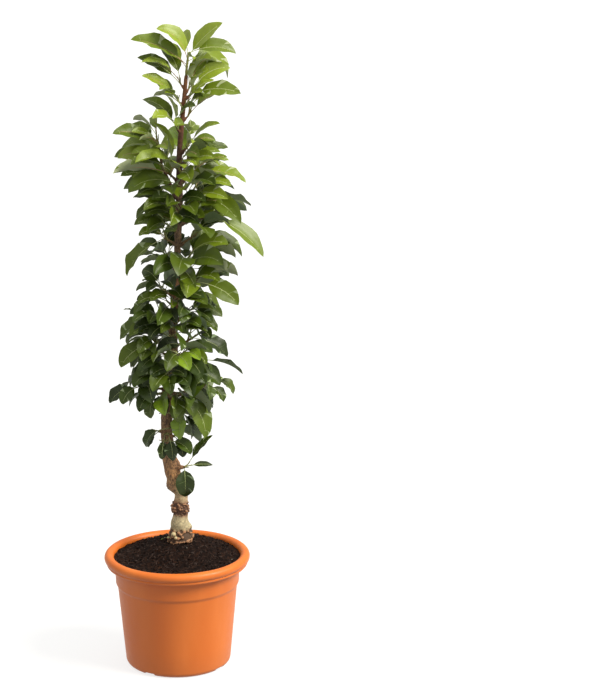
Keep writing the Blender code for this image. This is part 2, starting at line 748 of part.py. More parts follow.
def pot_profile():
    """The pot's half section, from the middle of its underside, up outside and down inside."""
    foot_inner = FOOT_RADIUS - FOOT_WIDTH
    chamfer = UNDER_RECESS
    corner_r = WALL_FOOT_RADIUS - FOOT_CORNER
    outside = [
        (0.0, 0.0),
        (HUB_RADIUS, 0.0),
        (HUB_RADIUS + chamfer, UNDER_RECESS),
        (foot_inner - chamfer, UNDER_RECESS),
        (foot_inner, 0.0),
        *arc(corner_r, FOOT_CORNER, FOOT_CORNER, -90.0, -6.0, 3),
        (WALL_TOP_RADIUS, WALL_TOP),
        (COLLAR_RADIUS - COLLAR_TAPER, COLLAR_BOTTOM),
        (COLLAR_RADIUS, COLLAR_TOP),
        *arc(BEAD_RADIUS, BEAD_HEIGHT, BEAD_ROLL, -110.0, 30.0, 2),
        *lip_roll(),
    ]
    inside = [
        (COLLAR_RADIUS - WALL, COLLAR_TOP),
        (COLLAR_RADIUS - COLLAR_TAPER - WALL, COLLAR_BOTTOM),
        (WALL_TOP_RADIUS - WALL, WALL_TOP),
        (WALL_FOOT_RADIUS - WALL, FOOT_CORNER),
        (FOOT_RADIUS, FLOOR),
        (0.0, FLOOR),
    ]
    return outside, inside


def turned(name, profile, sides, material):
    """A solid spun from a half section whose two ends lie on the axis."""
    shape = bmesh.new()
    points = [shape.verts.new((r, 0.0, z)) for r, z in profile]
    edges = [shape.edges.new(pair) for pair in zip(points, points[1:])]
    bmesh.ops.spin(
        shape,
        geom=points + edges,
        cent=(0.0, 0.0, 0.0),
        axis=(0.0, 0.0, 1.0),
        angle=2.0 * math.pi,
        steps=sides,
        use_merge=True,
    )
    bmesh.ops.remove_doubles(shape, verts=shape.verts, dist=0.00001)
    bmesh.ops.recalc_face_normals(shape, faces=shape.faces)
    mesh = bpy.data.meshes.new(name)
    shape.to_mesh(mesh)
    shape.free()
    mesh.materials.append(material)
    made = bpy.data.objects.new(name, mesh)
    bpy.context.scene.collection.objects.link(made)
    return made


def cutter_box(name, centre, size, bearing):
    """A block turned to a bearing, for cutting."""
    bpy.ops.mesh.primitive_cube_add(size=1.0, location=centre, rotation=(0, 0, math.radians(bearing)))
    block = bpy.context.active_object
    block.name = name
    block.scale = size
    bpy.ops.object.transform_apply(location=False, rotation=False, scale=True)
    return block


def cutter_rod(name, centre, radius, length):
    bpy.ops.mesh.primitive_cylinder_add(vertices=10, radius=radius, depth=length, location=centre)
    rod = bpy.context.active_object
    rod.name = name
    return rod


def cut(target, cutters):
    """Takes the cutters out of the target, and leaves them as hidden guides."""
    for cutter in cutters:
        cutter.hide_render = True
        cutter.display_type = "WIRE"
        difference = target.modifiers.new(cutter.name, "BOOLEAN")
        difference.operation = "DIFFERENCE"
        difference.solver = "EXACT"
        difference.object = cutter


def make_pot(plastic):
    outside, inside = pot_profile()
    pot = turned("pot", outside + inside, POT_SIDES, plastic)
    cutters = []
    for k, bearing in enumerate(NOTCH_BEARINGS):
        ahead = direction(bearing, 0.0)
        # Each notch is open at the ground and runs through the foot ring and the rounded corner.
        middle = ahead * (FOOT_RADIUS - FOOT_WIDTH / 2.0)
        size = (0.032, NOTCH_WIDTH, 2.0 * NOTCH_HEIGHT)
        cutters.append(cutter_box(f"notch_{k}", middle, size, bearing))
        hole = ahead * DRAIN_PLACE
        hole.z = FLOOR / 2.0
        cutters.append(cutter_rod(f"drain_{k}", hole, DRAIN_RADIUS, 3.0 * FLOOR))
    cut(pot, cutters)
    pot.data.shade_smooth()
    pot.data.set_sharp_from_angle(angle=math.radians(35.0))
    return pot


def soil_height(x, y, dice):
    """The compost's surface: level at the wall, mounded round the foot of the tree."""
    foot = trunk_axis(TRUNK_STATIONS[0][0])
    away = math.hypot(x - foot.x, y - foot.y)
    if away <= MOUND_PLATEAU:
        return SOIL_CROWN
    share = min((away - MOUND_PLATEAU) / 0.085, 1.0)
    fall = 0.5 - 0.5 * math.cos(math.pi * share)
    return SOIL_CROWN - (SOIL_CROWN - SOIL_EDGE) * fall - dice.uniform(0.0, SOIL_LUMP)


def soil_wall(height):
    """The compost's radius against the pot's inner wall."""
    lip_radius, lip_height = lip_roll()[-1]
    inner = (
        (FLOOR, FOOT_RADIUS),
        (FOOT_CORNER, WALL_FOOT_RADIUS - WALL),
        (WALL_TOP, WALL_TOP_RADIUS - WALL),
        (COLLAR_BOTTOM, COLLAR_RADIUS - COLLAR_TAPER - WALL),
        (COLLAR_TOP, COLLAR_RADIUS - WALL),
        (lip_height, lip_radius),
    )
    return between(inner, height)[0] - CLEAR


def make_soil(material):
    """The compost as rings that follow the wall up from the floor, then in to the tree."""
    dice = random.Random(SOIL_SEED)
    bearings = [360.0 * i / POT_SIDES for i in range(POT_SIDES)]
    rings = []
    for height in (FLOOR + CLEAR, FOOT_CORNER, WALL_TOP, COLLAR_BOTTOM, COLLAR_TOP):
        rings.append([soil_wall(height) * direction(b, 0) + Vector((0, 0, height)) for b in bearings])
    edge = soil_wall(SOIL_EDGE - SOIL_LUMP)
    for share in (1.0, 0.76, 0.50, 0.26):
        ring = []
        for bearing in bearings:
            flat = direction(bearing, 0.0) * edge * share
            flat.z = soil_height(flat.x, flat.y, dice)
            ring.append(flat)
        rings.append(ring)
    middle = Vector((0.0, 0.0, SOIL_CROWN))
    return mesh_object("potting_soil", *lofted(rings, middle), material)


def main():
    for old in list(bpy.data.objects):
        bpy.data.objects.remove(old)
    plastic = material_of("terracotta_plastic", (0.68, 0.20, 0.045), 0.42)
    compost = material_of("compost", (0.022, 0.012, 0.009), 0.95)
    bark = material_of("apple_bark", (0.26, 0.17, 0.09), 0.85)
    leaf_green = material_of("apple_leaf", (0.075, 0.17, 0.022), 0.5)

    make_pot(plastic)
    make_soil(compost)

    trunk = trunk_shape()
    mesh_object("trunk", *trunk, bark)
    trunk_tree = triangles_tree(*trunk)
    room = Room()
    room.add(trunk, "limb", "trunk")
    boughs = all_boughs(trunk_tree)
    for name, (limb, _) in boughs.items():
        mesh_object(name, *twig_shape(limb, BOUGH_SIDES), bark)
        room.add(twig_shape(limb, BOUGH_SIDES, TEST_SPREAD), "limb", name)
    masses = bough_masses(room, boughs) + trunk_masses(room, trunk_tree)
    grow_leaves(masses, room)
    for mass in masses:
        shapes = [twig_shape(twig, TWIG_SIDES) for twig in mass.twigs]
        shapes += [leaf_shape(leaf) for leaf in mass.leaves]
        fused(mass.name, shapes, leaf_green)
    print("leaves:", sum(len(mass.leaves) for mass in masses))


main()
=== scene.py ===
"""The looks of a dwarf columnar apple tree that stands in a round nursery pot.

Metres, +Z up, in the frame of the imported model: the origin is the middle of the pot's underside,
+X is to the right as the tree is looked at from the front, and +Y is away from the viewer.
A bearing of 0 degrees is +X and one of 90 degrees is +Y.
"""

import json
import math
import random
from collections import namedtuple

import bpy
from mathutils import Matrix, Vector, noise
from mathutils.bvhtree import BVHTree

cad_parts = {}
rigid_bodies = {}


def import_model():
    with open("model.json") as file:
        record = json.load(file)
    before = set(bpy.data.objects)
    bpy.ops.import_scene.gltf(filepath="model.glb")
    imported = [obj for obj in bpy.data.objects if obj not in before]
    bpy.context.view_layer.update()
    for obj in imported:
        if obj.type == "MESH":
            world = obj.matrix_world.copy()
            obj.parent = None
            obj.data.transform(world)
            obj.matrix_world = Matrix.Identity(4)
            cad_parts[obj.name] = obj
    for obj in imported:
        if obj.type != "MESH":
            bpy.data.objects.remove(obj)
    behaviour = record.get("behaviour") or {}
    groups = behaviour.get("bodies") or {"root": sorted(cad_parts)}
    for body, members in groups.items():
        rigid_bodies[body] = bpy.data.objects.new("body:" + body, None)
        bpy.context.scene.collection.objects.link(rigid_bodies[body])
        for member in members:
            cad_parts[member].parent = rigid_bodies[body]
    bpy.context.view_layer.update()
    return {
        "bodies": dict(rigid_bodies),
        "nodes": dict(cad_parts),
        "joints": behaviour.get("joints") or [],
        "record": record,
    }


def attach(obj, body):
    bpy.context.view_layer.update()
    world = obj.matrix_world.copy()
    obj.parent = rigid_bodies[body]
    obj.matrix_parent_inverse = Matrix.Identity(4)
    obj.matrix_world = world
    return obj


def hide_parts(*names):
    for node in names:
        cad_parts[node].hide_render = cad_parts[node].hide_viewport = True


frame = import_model()


# The viewpoint.
# A long lens a little above head height, four metres in front of the tree, that looks down on
# the pot's mouth and up to the crown's tip in one upright picture.
PICTURE_HEIGHT = 700.0
FOCAL_LENGTH_IN_PIXELS = 2294.7
SENSOR_HEIGHT = 36.0
EYE = (0.0, -4.2, 1.6792)
LOOKS_DOWN = math.radians(14.144)
LOOKS_RIGHT = math.radians(3.231)

bpy.ops.object.select_all(action="DESELECT")
bpy.ops.object.camera_add(location=EYE)
camera = bpy.context.active_object
camera.name = "front_camera"
camera.data.sensor_width = SENSOR_HEIGHT
camera.data.lens = FOCAL_LENGTH_IN_PIXELS / PICTURE_HEIGHT * SENSOR_HEIGHT
view_line = Vector(
    (
        math.sin(LOOKS_RIGHT) * math.cos(LOOKS_DOWN),
        math.cos(LOOKS_RIGHT) * math.cos(LOOKS_DOWN),
        -math.sin(LOOKS_DOWN),
    )
)
camera.rotation_euler = view_line.to_track_quat("-Z", "Y").to_euler()
bpy.context.scene.camera = camera


# The studio.
# A pale seamless floor and soft light: a broad lamp high on the right, and a room that is bright
# overhead and dim near the ground, so that the crown keeps dark hollows between its leaves.
FLOOR_SIZE = 80.0
LAMP_HEIGHT = math.radians(42.0)
LAMP_BEARING = math.radians(-26.0)
LAMP_SPREAD = math.radians(26.0)
LAMP_STRENGTH = 3.5
ROOM_OVERHEAD = 1.0
ROOM_BELOW = 0.24
DIM_UP_TO = -0.35
BRIGHT_FROM = 0.95
PAPER_GLOW = 0.77


def linear(hex_colour):
    """An sRGB hex colour as the linear RGBA that the shader takes."""
    parts = [int(hex_colour[i : i + 2], 16) / 255.0 for i in (1, 3, 5)]
    return (*[c / 12.92 if c <= 0.04045 else ((c + 0.055) / 1.055) ** 2.4 for c in parts], 1.0)


def add_node(tree, kind, settings, links=()):
    """One node with its properties and sockets set, and with others' outputs linked to it."""
    made = tree.nodes.new("ShaderNode" + kind)
    for key, value in settings.items():
        if key == "stops":
            ramp = made.color_ramp
            for k, (place, colour) in enumerate(value):
                stop = ramp.elements[k] if k < 2 else ramp.elements.new(place)
                stop.position = place
                stop.color = linear(colour)
        elif isinstance(key, int) or key in made.inputs:
            made.inputs[key].default_value = value
        else:
            setattr(made, key, value)
    for key, source in dict(links).items():
        tree.links.new(source, made.inputs[key])
    return made


def new_finish(name, colour, roughness, ior=1.5):
    """A material of one plain colour, and its shader, for patterns to be linked to."""
    made = bpy.data.materials.new(name)
    made.use_nodes = True
    shader = made.node_tree.nodes["Principled BSDF"]
    shader.inputs["Base Color"].default_value = linear(colour)
    shader.inputs["Roughness"].default_value = roughness
    shader.inputs["IOR"].default_value = ior
    return made, shader


bpy.ops.mesh.primitive_plane_add(size=FLOOR_SIZE, location=(0.0, 0.0, 0.0))
floor = bpy.context.active_object
floor.name = "studio_floor"
# Matt white paper: it is lit from behind as well, so that shadows on it stay faint.
paper, paper_shader = new_finish("white_paper", "#8E8E8C", 0.9)
paper_shader.inputs["Specular IOR Level"].default_value = 0.0
paper_shader.inputs["Emission Color"].default_value = linear("#FFFFFF")
paper_shader.inputs["Emission Strength"].default_value = PAPER_GLOW
floor.data.materials.append(paper)
floor.visible_diffuse = False

lamp_turn = (math.pi / 2.0 - LAMP_HEIGHT, 0.0, LAMP_BEARING + math.pi / 2.0)
bpy.ops.object.light_add(type="SUN", rotation=lamp_turn)
lamp = bpy.context.active_object
lamp.name = "broad_lamp"
lamp.data.energy = LAMP_STRENGTH
lamp.data.angle = LAMP_SPREAD
lamp.data.color = linear("#FFFBF2")[:3]

room = bpy.data.worlds.new("studio_room")
bpy.context.scene.world = room
room.use_nodes = True
room_tree = room.node_tree
heading_node = add_node(room_tree, "TexCoord", {})
room_height = add_node(room_tree, "SeparateXYZ", {}, {0: heading_node.outputs["Generated"]})
room_range = {
    "From Min": DIM_UP_TO,
    "From Max": BRIGHT_FROM,
    "To Min": ROOM_BELOW,
    "To Max": ROOM_OVERHEAD,
}
room_light = add_node(room_tree, "MapRange", room_range, {"Value": room_height.outputs["Z"]})
room_tree.links.new(room_light.outputs["Result"], room_tree.nodes["Background"].inputs["Strength"])
room_tree.nodes["Background"].inputs["Color"].default_value = linear("#FAFAF8")
bpy.context.scene.view_settings.view_transform = "Standard"


# The pot.
# A ten litre nursery pot, moulded in one piece from terracotta-coloured polypropylene: a fat
# rolled lip over a shallow bead and collar, a tapering wall, and a foot ring with four notches.
POT_HEIGHT = 0.2227
RIM_RADIUS = 0.1400
LIP_ROLL = 0.0091
BEAD_ROLL = 0.0034
BEAD_RADIUS = 0.1325
BEAD_HEIGHT = 0.2030
COLLAR_TOP = 0.1960
COLLAR_RADIUS = 0.1200
COLLAR_FOOT_RADIUS = 0.1188
COLLAR_BOTTOM = 0.1655
WALL_TOP = 0.1560
WALL_TOP_RADIUS = 0.1150
WALL_FOOT_RADIUS = 0.1015
FOOT_CORNER = 0.0120
FOOT_RADIUS = 0.0900
FOOT_WIDTH = 0.0090
HUB_RADIUS = 0.0300
UNDER_RECESS = 0.0030
WALL = 0.0025
FLOOR_THICKNESS = 0.0060
POT_SEGMENTS = 144
LOW_WALL_RING = 0.045
HIGH_WALL_RING = 0.050
NOTCH_BEARINGS = (-126.0, -36.0, 54.0, 144.0)
NOTCH_WIDTH = 0.0260
NOTCH_HEIGHT = 0.0062
NOTCH_LENGTH = 0.0320
DRAIN_PLACE = 0.0680
DRAIN_RADIUS = 0.0060
SOFT_EDGE = 0.0008


def arc(centre_radius, centre_height, radius, first, last, count):
    """Radius and height along a round stretch of a profile, between two angles in degrees."""
    turns = [math.radians(first + (last - first) * i / count) for i in range(count + 1)]
    return [
        (centre_radius + radius * math.cos(a), centre_height + radius * math.sin(a)) for a in turns
    ]


def eased(low, high, count):
    """Radius and height down a soft shoulder from one place on a profile to another."""
    shares = [i / count for i in range(1, count)]
    return [
        (
            low[0] + (high[0] - low[0]) * (0.5 - 0.5 * math.cos(math.pi * s)),
            low[1] + (high[1] - low[1]) * s,
        )
        for s in shares
    ]


def pick(piece):
    """Selects one piece alone, as the one that the next operator works on."""
    bpy.ops.object.select_all(action="DESELECT")
    bpy.context.view_layer.objects.active = piece
    piece.select_set(True)


def apply_modifier(piece, kind, **settings):
    """Gives a piece a modifier with its settings, and applies it."""
    pick(piece)
    added = piece.modifiers.new(kind.lower(), kind)
    for key, value in settings.items():
        setattr(added, key, value)
    bpy.ops.object.modifier_apply(modifier=added.name)


def smoothed(piece, angle):
    """Shades a piece smooth except across edges sharper than an angle in degrees."""
    pick(piece)
    bpy.ops.object.shade_smooth_by_angle(angle=math.radians(angle))


def turned_skin(name, rings, segments):
    """A closed skin drawn up ring by ring from a circle, as on a lathe."""
    bpy.ops.object.select_all(action="DESELECT")
    bpy.ops.mesh.primitive_circle_add(vertices=segments, radius=rings[0][0])
    skin = bpy.context.active_object
    skin.name = name
    bpy.ops.object.mode_set(mode="EDIT")
    bpy.ops.mesh.select_all(action="SELECT")
    bpy.ops.transform.translate(value=(0.0, 0.0, rings[0][1]))
    for (last_radius, last_height), (radius, height) in zip(rings, rings[1:]):
        rise = (0.0, 0.0, height - last_height)
        bpy.ops.mesh.extrude_edges_move(TRANSFORM_OT_translate={"value": rise})
        scale = radius / last_radius
        bpy.ops.transform.resize(value=(scale, scale, 1.0), center_override=(0.0, 0.0, height))
    bpy.ops.mesh.select_all(action="SELECT")
    bpy.ops.mesh.fill_holes(sides=0)
    bpy.ops.mesh.select_all(action="SELECT")
    bpy.ops.mesh.normals_make_consistent(inside=False)
    bpy.ops.object.mode_set(mode="OBJECT")
    return skin


def cut_out(target, cutter):
    """Takes one shape out of another and throws the cutter away."""
    apply_modifier(target, "BOOLEAN", operation="DIFFERENCE", object=cutter)
    bpy.data.objects.remove(cutter)


foot_inner = FOOT_RADIUS - FOOT_WIDTH
wall_taper = (WALL_TOP_RADIUS - WALL_FOOT_RADIUS) / (WALL_TOP - FOOT_CORNER)
lip_rings = arc(RIM_RADIUS - LIP_ROLL, POT_HEIGHT - LIP_ROLL, LIP_ROLL, -60.0, 195.0, 24)
outside_rings = [
    (HUB_RADIUS, 0.0),
    (HUB_RADIUS + UNDER_RECESS, UNDER_RECESS),
    (foot_inner - UNDER_RECESS, UNDER_RECESS),
    (foot_inner, 0.0),
    *arc(WALL_FOOT_RADIUS - FOOT_CORNER, FOOT_CORNER, FOOT_CORNER, -90.0, -6.0, 9),
    (WALL_FOOT_RADIUS + LOW_WALL_RING * wall_taper, FOOT_CORNER + LOW_WALL_RING),
    (WALL_TOP_RADIUS - HIGH_WALL_RING * wall_taper, WALL_TOP - HIGH_WALL_RING),
    (WALL_TOP_RADIUS, WALL_TOP),
    *eased((WALL_TOP_RADIUS, WALL_TOP), (COLLAR_FOOT_RADIUS, COLLAR_BOTTOM), 6),
    (COLLAR_FOOT_RADIUS, COLLAR_BOTTOM),
    (COLLAR_RADIUS, COLLAR_TOP),
    *arc(BEAD_RADIUS, BEAD_HEIGHT, BEAD_ROLL, -110.0, 30.0, 9),
    *lip_rings,
]
inside_rings = [
    (COLLAR_RADIUS - WALL, COLLAR_TOP),
    (COLLAR_FOOT_RADIUS - WALL, COLLAR_BOTTOM),
    (WALL_TOP_RADIUS - WALL, WALL_TOP),
    (WALL_FOOT_RADIUS - WALL, FOOT_CORNER),
    (FOOT_RADIUS, FLOOR_THICKNESS),
    (HUB_RADIUS, FLOOR_THICKNESS),
]
pot = turned_skin("moulded_pot", outside_rings + inside_rings, POT_SEGMENTS)
for bearing in NOTCH_BEARINGS:
    ahead = Vector((math.cos(math.radians(bearing)), math.sin(math.radians(bearing)), 0.0))
    bpy.ops.object.select_all(action="DESELECT")
    bpy.ops.mesh.primitive_cube_add(
        size=1.0,
        location=ahead * (FOOT_RADIUS - FOOT_WIDTH / 2.0),
        rotation=(0.0, 0.0, math.radians(bearing)),
        scale=(NOTCH_LENGTH, NOTCH_WIDTH, 2.0 * NOTCH_HEIGHT),
    )
    cut_out(pot, bpy.context.active_object)
    bpy.ops.mesh.primitive_cylinder_add(
        vertices=28, radius=DRAIN_RADIUS, depth=4.0 * FLOOR_THICKNESS, location=ahead * DRAIN_PLACE
    )
    cut_out(pot, bpy.context.active_object)
sharper = math.radians(40.0)
soft = {"width": SOFT_EDGE / 2.0, "segments": 2, "limit_method": "ANGLE", "angle_limit": sharper}
apply_modifier(pot, "BEVEL", **soft)
smoothed(pot, 32.0)

# Moulded polypropylene: a satin, faintly waxy orange brown. Flow marks from the mould run up the
# wall as broad pale streaks. The grain of the tool, drawn coarser than it is so that it shows,
# breaks up the gloss, and a little dust clings near the ground.
FLOW_MARK_WIDTH = 0.060
FLOW_MARK_SQUEEZE = 0.22
SCUFF = 0.009
DUST_HEIGHT = 0.05
TOOL_GRAIN = 0.0024
terracotta_plastic, plastic_shader = new_finish("terracotta_polypropylene", "#E17425", 0.40, 1.49)
plastic_shader.inputs["Specular IOR Level"].default_value = 0.40
plastic = terracotta_plastic.node_tree
place_on_pot = add_node(plastic, "TexCoord", {})
drawn_up = add_node(
    plastic,
    "Mapping",
    {"Scale": (1.0, 1.0, FLOW_MARK_SQUEEZE)},
    {"Vector": place_on_pot.outputs["Object"]},
)
flow_marks = add_node(
    plastic,
    "TexNoise",
    {"Scale": 1.0 / FLOW_MARK_WIDTH, "Detail": 3.0, "Roughness": 0.5},
    {"Vector": drawn_up.outputs["Vector"]},
)
plastic_tones = add_node(
    plastic,
    "ValToRGB",
    {"stops": ((0.30, "#DC6E20"), (0.55, "#E17425"), (0.75, "#E77C2E"))},
    {"Fac": flow_marks.outputs["Fac"]},
)
scuffs = add_node(
    plastic,
    "TexNoise",
    {"Scale": 1.0 / SCUFF, "Detail": 4.0, "Roughness": 0.7},
    {"Vector": place_on_pot.outputs["Object"]},
)
height_on_pot = add_node(plastic, "SeparateXYZ", {}, {0: place_on_pot.outputs["Object"]})
near_ground = add_node(
    plastic,
    "MapRange",
    {"From Min": 0.0, "From Max": DUST_HEIGHT, "To Min": 0.55, "To Max": 0.0},
    {"Value": height_on_pot.outputs["Z"]},
)
dust = add_node(
    plastic,
    "Math",
    {"operation": "MULTIPLY"},
    {0: scuffs.outputs["Fac"], 1: near_ground.outputs["Result"]},
)
dusted = add_node(
    plastic,
    "Mix",
    {"data_type": "RGBA", 7: linear("#C26A33")},
    {0: dust.outputs["Value"], 6: plastic_tones.outputs["Color"]},
)
plastic.links.new(dusted.outputs[2], plastic_shader.inputs["Base Color"])
gloss = add_node(
    plastic,
    "MapRange",
    {"From Min": 0.3, "From Max": 0.7, "To Min": 0.40, "To Max": 0.52},
    {"Value": scuffs.outputs["Fac"]},
)
plastic.links.new(gloss.outputs["Result"], plastic_shader.inputs["Roughness"])
grain = add_node(
    plastic,
    "TexNoise",
    {"Scale": 1.0 / TOOL_GRAIN, "Detail": 2.0},
    {"Vector": place_on_pot.outputs["Object"]},
)
grain_relief = add_node(
    plastic,
    "Bump",
    {"Strength": 0.10, "Distance": 0.0004},
    {"Height": grain.outputs["Fac"]},
)
plastic.links.new(grain_relief.outputs["Normal"], plastic_shader.inputs["Normal"])
pot.data.materials.append(terracotta_plastic)
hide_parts("pot")
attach(pot, "root")


# The compost.
# Dark, moist peat and bark, nearly level with the collar and heaped a little round the tree's
# foot. It is crumbly on top, with loose crumbs, a little grit and short reddish bark fibres.
SOIL_EDGE = 0.2130
SOIL_CROWN = 0.2350
MOUND_PLATEAU = 0.0300
MOUND_SLOPE = 0.0850
TREE_FOOT = Vector((0.0058, 0.0300, 0.0))
SOIL_SEGMENTS = 300
SOIL_RING_STEP = 0.0014
HOLLOW = 0.0450
HOLLOW_RISE = 0.0020
CLOD = 0.0140
CLOD_RISE = 0.0022
CRUMB = 0.0052
CRUMB_RISE = 0.0016
FINE_CRUMB = 0.0027
FINE_CRUMB_RISE = 0.0008
SOIL_GAP = 0.0006


def soil_mound(x, y):
    """The lie of the compost before its crumbs: level at the wall, heaped round the tree's foot."""
    away = math.hypot(x - TREE_FOOT.x, y - TREE_FOOT.y)
    share = min(max(away - MOUND_PLATEAU, 0.0) / MOUND_SLOPE, 1.0)
    return SOIL_CROWN - (SOIL_CROWN - SOIL_EDGE) * (0.5 - 0.5 * math.cos(math.pi * share))


def lumps(x, y, size, seed):
    """From 0 between crumbs to 1 on top of one, for crumbs of a size."""
    gap = noise.voronoi(Vector((x / size, y / size, seed)))[0][0]
    return max(0.0, 1.0 - gap * gap * 1.6)


def soil_top(x, y):
    """The height of the compost's crumbly surface."""
    rough = noise.noise(Vector((x / CLOD, y / CLOD, 3.7))) * CLOD_RISE
    rough += noise.noise(Vector((x / HOLLOW, y / HOLLOW, 8.1))) * HOLLOW_RISE
    rough += lumps(x, y, CRUMB, 1.0) * CRUMB_RISE
    rough += lumps(x, y, FINE_CRUMB, 5.0) * FINE_CRUMB_RISE
    return soil_mound(x, y) + rough - CLOD_RISE


def joined_mesh(name, parts, finishes):
    """One object from many small closed shapes: points, faces and the finish of each face."""
    points, faces, slots = [], [], []
    for part_points, part_faces, part_slots in parts:
        first = len(points)
        points += [tuple(p) for p in part_points]
        faces += [tuple(first + i for i in face) for face in part_faces]
        slots += part_slots if isinstance(part_slots, list) else [part_slots] * len(part_faces)
    mesh = bpy.data.meshes.new(name)
    mesh.from_pydata(points, [], faces)
    for finish in finishes:
        mesh.materials.append(finish)
    mesh.polygons.foreach_set("material_index", slots)
    made = bpy.data.objects.new(name, mesh)
    bpy.context.scene.collection.objects.link(made)
    return made


def ring_round(centre, axis, radius, sides):
    """Points round an axis, in right-handed order about it."""
    across = axis.orthogonal().normalized()
    beside = axis.cross(across).normalized()
    turns = [2.0 * math.pi * i / sides for i in range(sides)]
    return [centre + radius * (math.cos(a) * across + math.sin(a) * beside) for a in turns]


def lofted(rings, tip=None):
    """Points and faces of a closed skin over rings of equal count, with an optional end point."""
    count = len(rings[0])
    points = [p for ring in rings for p in ring]
    faces = [tuple(reversed(range(count)))]
    for k in range(len(rings) - 1):
        for i in range(count):
            j = (i + 1) % count
            faces.append((k * count + i, k * count + j, (k + 1) * count + j, (k + 1) * count + i))
    last = (len(rings) - 1) * count
    if tip is None:
        faces.append(tuple(range(last, last + count)))
    else:
        points.append(tip)
        faces += [(last + i, last + (i + 1) % count, len(points) - 1) for i in range(count)]
    return points, faces


def tube(path, radii, sides):
    """A closed tube along points, with a radius at each of them."""
    rings = []
    for k, point in enumerate(path):
        axis = (path[min(k + 1, len(path) - 1)] - path[max(k - 1, 0)]).normalized()
        rings.append(ring_round(point, axis, radii[k], sides))
    return lofted(rings)


inner_lip_radius, inner_lip_height = lip_rings[-1]
soil_wall = inner_lip_radius - 0.0004
wall_rings = [
    (FOOT_RADIUS - 0.0010, FLOOR_THICKNESS + 0.0004),
    (WALL_FOOT_RADIUS - WALL - SOIL_GAP, FOOT_CORNER + 0.0010),
    (WALL_TOP_RADIUS - WALL - SOIL_GAP, WALL_TOP),
    (COLLAR_FOOT_RADIUS - WALL - SOIL_GAP, COLLAR_BOTTOM),
    (COLLAR_RADIUS - WALL - SOIL_GAP, COLLAR_TOP),
    (soil_wall, inner_lip_height - 0.0010),
]
top_count = int(soil_wall / SOIL_RING_STEP)
top_rings = [(soil_wall * (1.0 - k / top_count), SOIL_EDGE) for k in range(top_count)]
compost = turned_skin("potting_compost", wall_rings + top_rings, SOIL_SEGMENTS)
for vertex in compost.data.vertices:
    if vertex.co.z > SOIL_EDGE - 0.0001:
        vertex.co.z = soil_top(vertex.co.x, vertex.co.y)
smoothed(compost, 60.0)

# Moist peat: almost black, with browner crumbs and a dull surface.
PEAT_CRUMB = 0.0042
PEAT_PATCH = 0.030
moist_peat, peat_shader = new_finish("moist_peat", "#1C130F", 0.85)
peat_shader.inputs["Specular IOR Level"].default_value = 0.10
peat = moist_peat.node_tree
place_on_soil = add_node(peat, "TexCoord", {})
peat_crumbs = add_node(
    peat,
    "TexVoronoi",
    {"Scale": 1.0 / PEAT_CRUMB, "Randomness": 1.0},
    {"Vector": place_on_soil.outputs["Object"]},
)
peat_patches = add_node(
    peat,
    "TexNoise",
    {"Scale": 1.0 / PEAT_PATCH, "Detail": 6.0, "Roughness": 0.7},
    {"Vector": place_on_soil.outputs["Object"]},
)
crumb_shade = add_node(peat, "SeparateColor", {}, {0: peat_crumbs.outputs["Color"]})
peat_mixed = add_node(
    peat,
    "Math",
    {"operation": "MULTIPLY"},
    {0: crumb_shade.outputs["Red"], 1: peat_patches.outputs["Fac"]},
)
peat_tones = add_node(
    peat,
    "ValToRGB",
    {"stops": ((0.05, "#0F0704"), (0.30, "#1B0F0A"), (0.52, "#2B190F"), (0.72, "#422817"))},
    {"Fac": peat_mixed.outputs["Value"]},
)
peat.links.new(peat_tones.outputs["Color"], peat_shader.inputs["Base Color"])
peat_relief = add_node(
    peat,
    "Bump",
    {"Strength": 0.5, "Distance": 0.0010},
    {"Height": peat_patches.outputs["Fac"]},
)
peat.links.new(peat_relief.outputs["Normal"], peat_shader.inputs["Normal"])
compost.data.materials.append(moist_peat)

# Loose crumbs, bark chips and fibres, scattered over the top by seeded dice. Composted bark is a
# dull dark brown, dry fibre is a lighter brown, and a few grains of grit are a dusty grey.
SOIL_SEED = 12
LOOSE_CRUMBS = 700
CRUMB_SIZES = (0.0007, 0.0024)
BIG_CRUMB_SHARE = 0.06
BIG_CRUMB = 1.6
PEAT_CRUMB_SHARE = 0.62
GRIT_SHARE = 0.007
FIBRES = 420
FIBRE_LENGTHS = (0.004, 0.015)
FIBRE_RADII = (0.00022, 0.00055)
FIBRE_BEND = 0.9
FIBRE_LIFT = 0.0006
DARK_FIBRE_SHARE = 0.55
bark_chip = new_finish("composted_bark", "#2C1C14", 0.90)[0]
dry_fibre = new_finish("dry_bark_fibre", "#432B1D", 0.85)[0]
grey_grit = new_finish("grey_grit", "#6F675C", 0.80)[0]


def small_ball(subdivisions):
    """Points and faces of a ball of radius one, to be pulled out of shape and copied."""
    bpy.ops.object.select_all(action="DESELECT")
    bpy.ops.mesh.primitive_ico_sphere_add(subdivisions=subdivisions, radius=1.0)
    ball = bpy.context.active_object
    points = [v.co.copy() for v in ball.data.vertices]
    faces = [tuple(p.vertices) for p in ball.data.polygons]
    bpy.data.objects.remove(ball)
    return points, faces


def place_on_top(dice, margin):
    """A place on the compost, clear of the wall by a margin."""
    reach = (soil_wall - margin) * math.sqrt(dice.random())
    turn = dice.uniform(0.0, 2.0 * math.pi)
    return reach * math.cos(turn), reach * math.sin(turn)


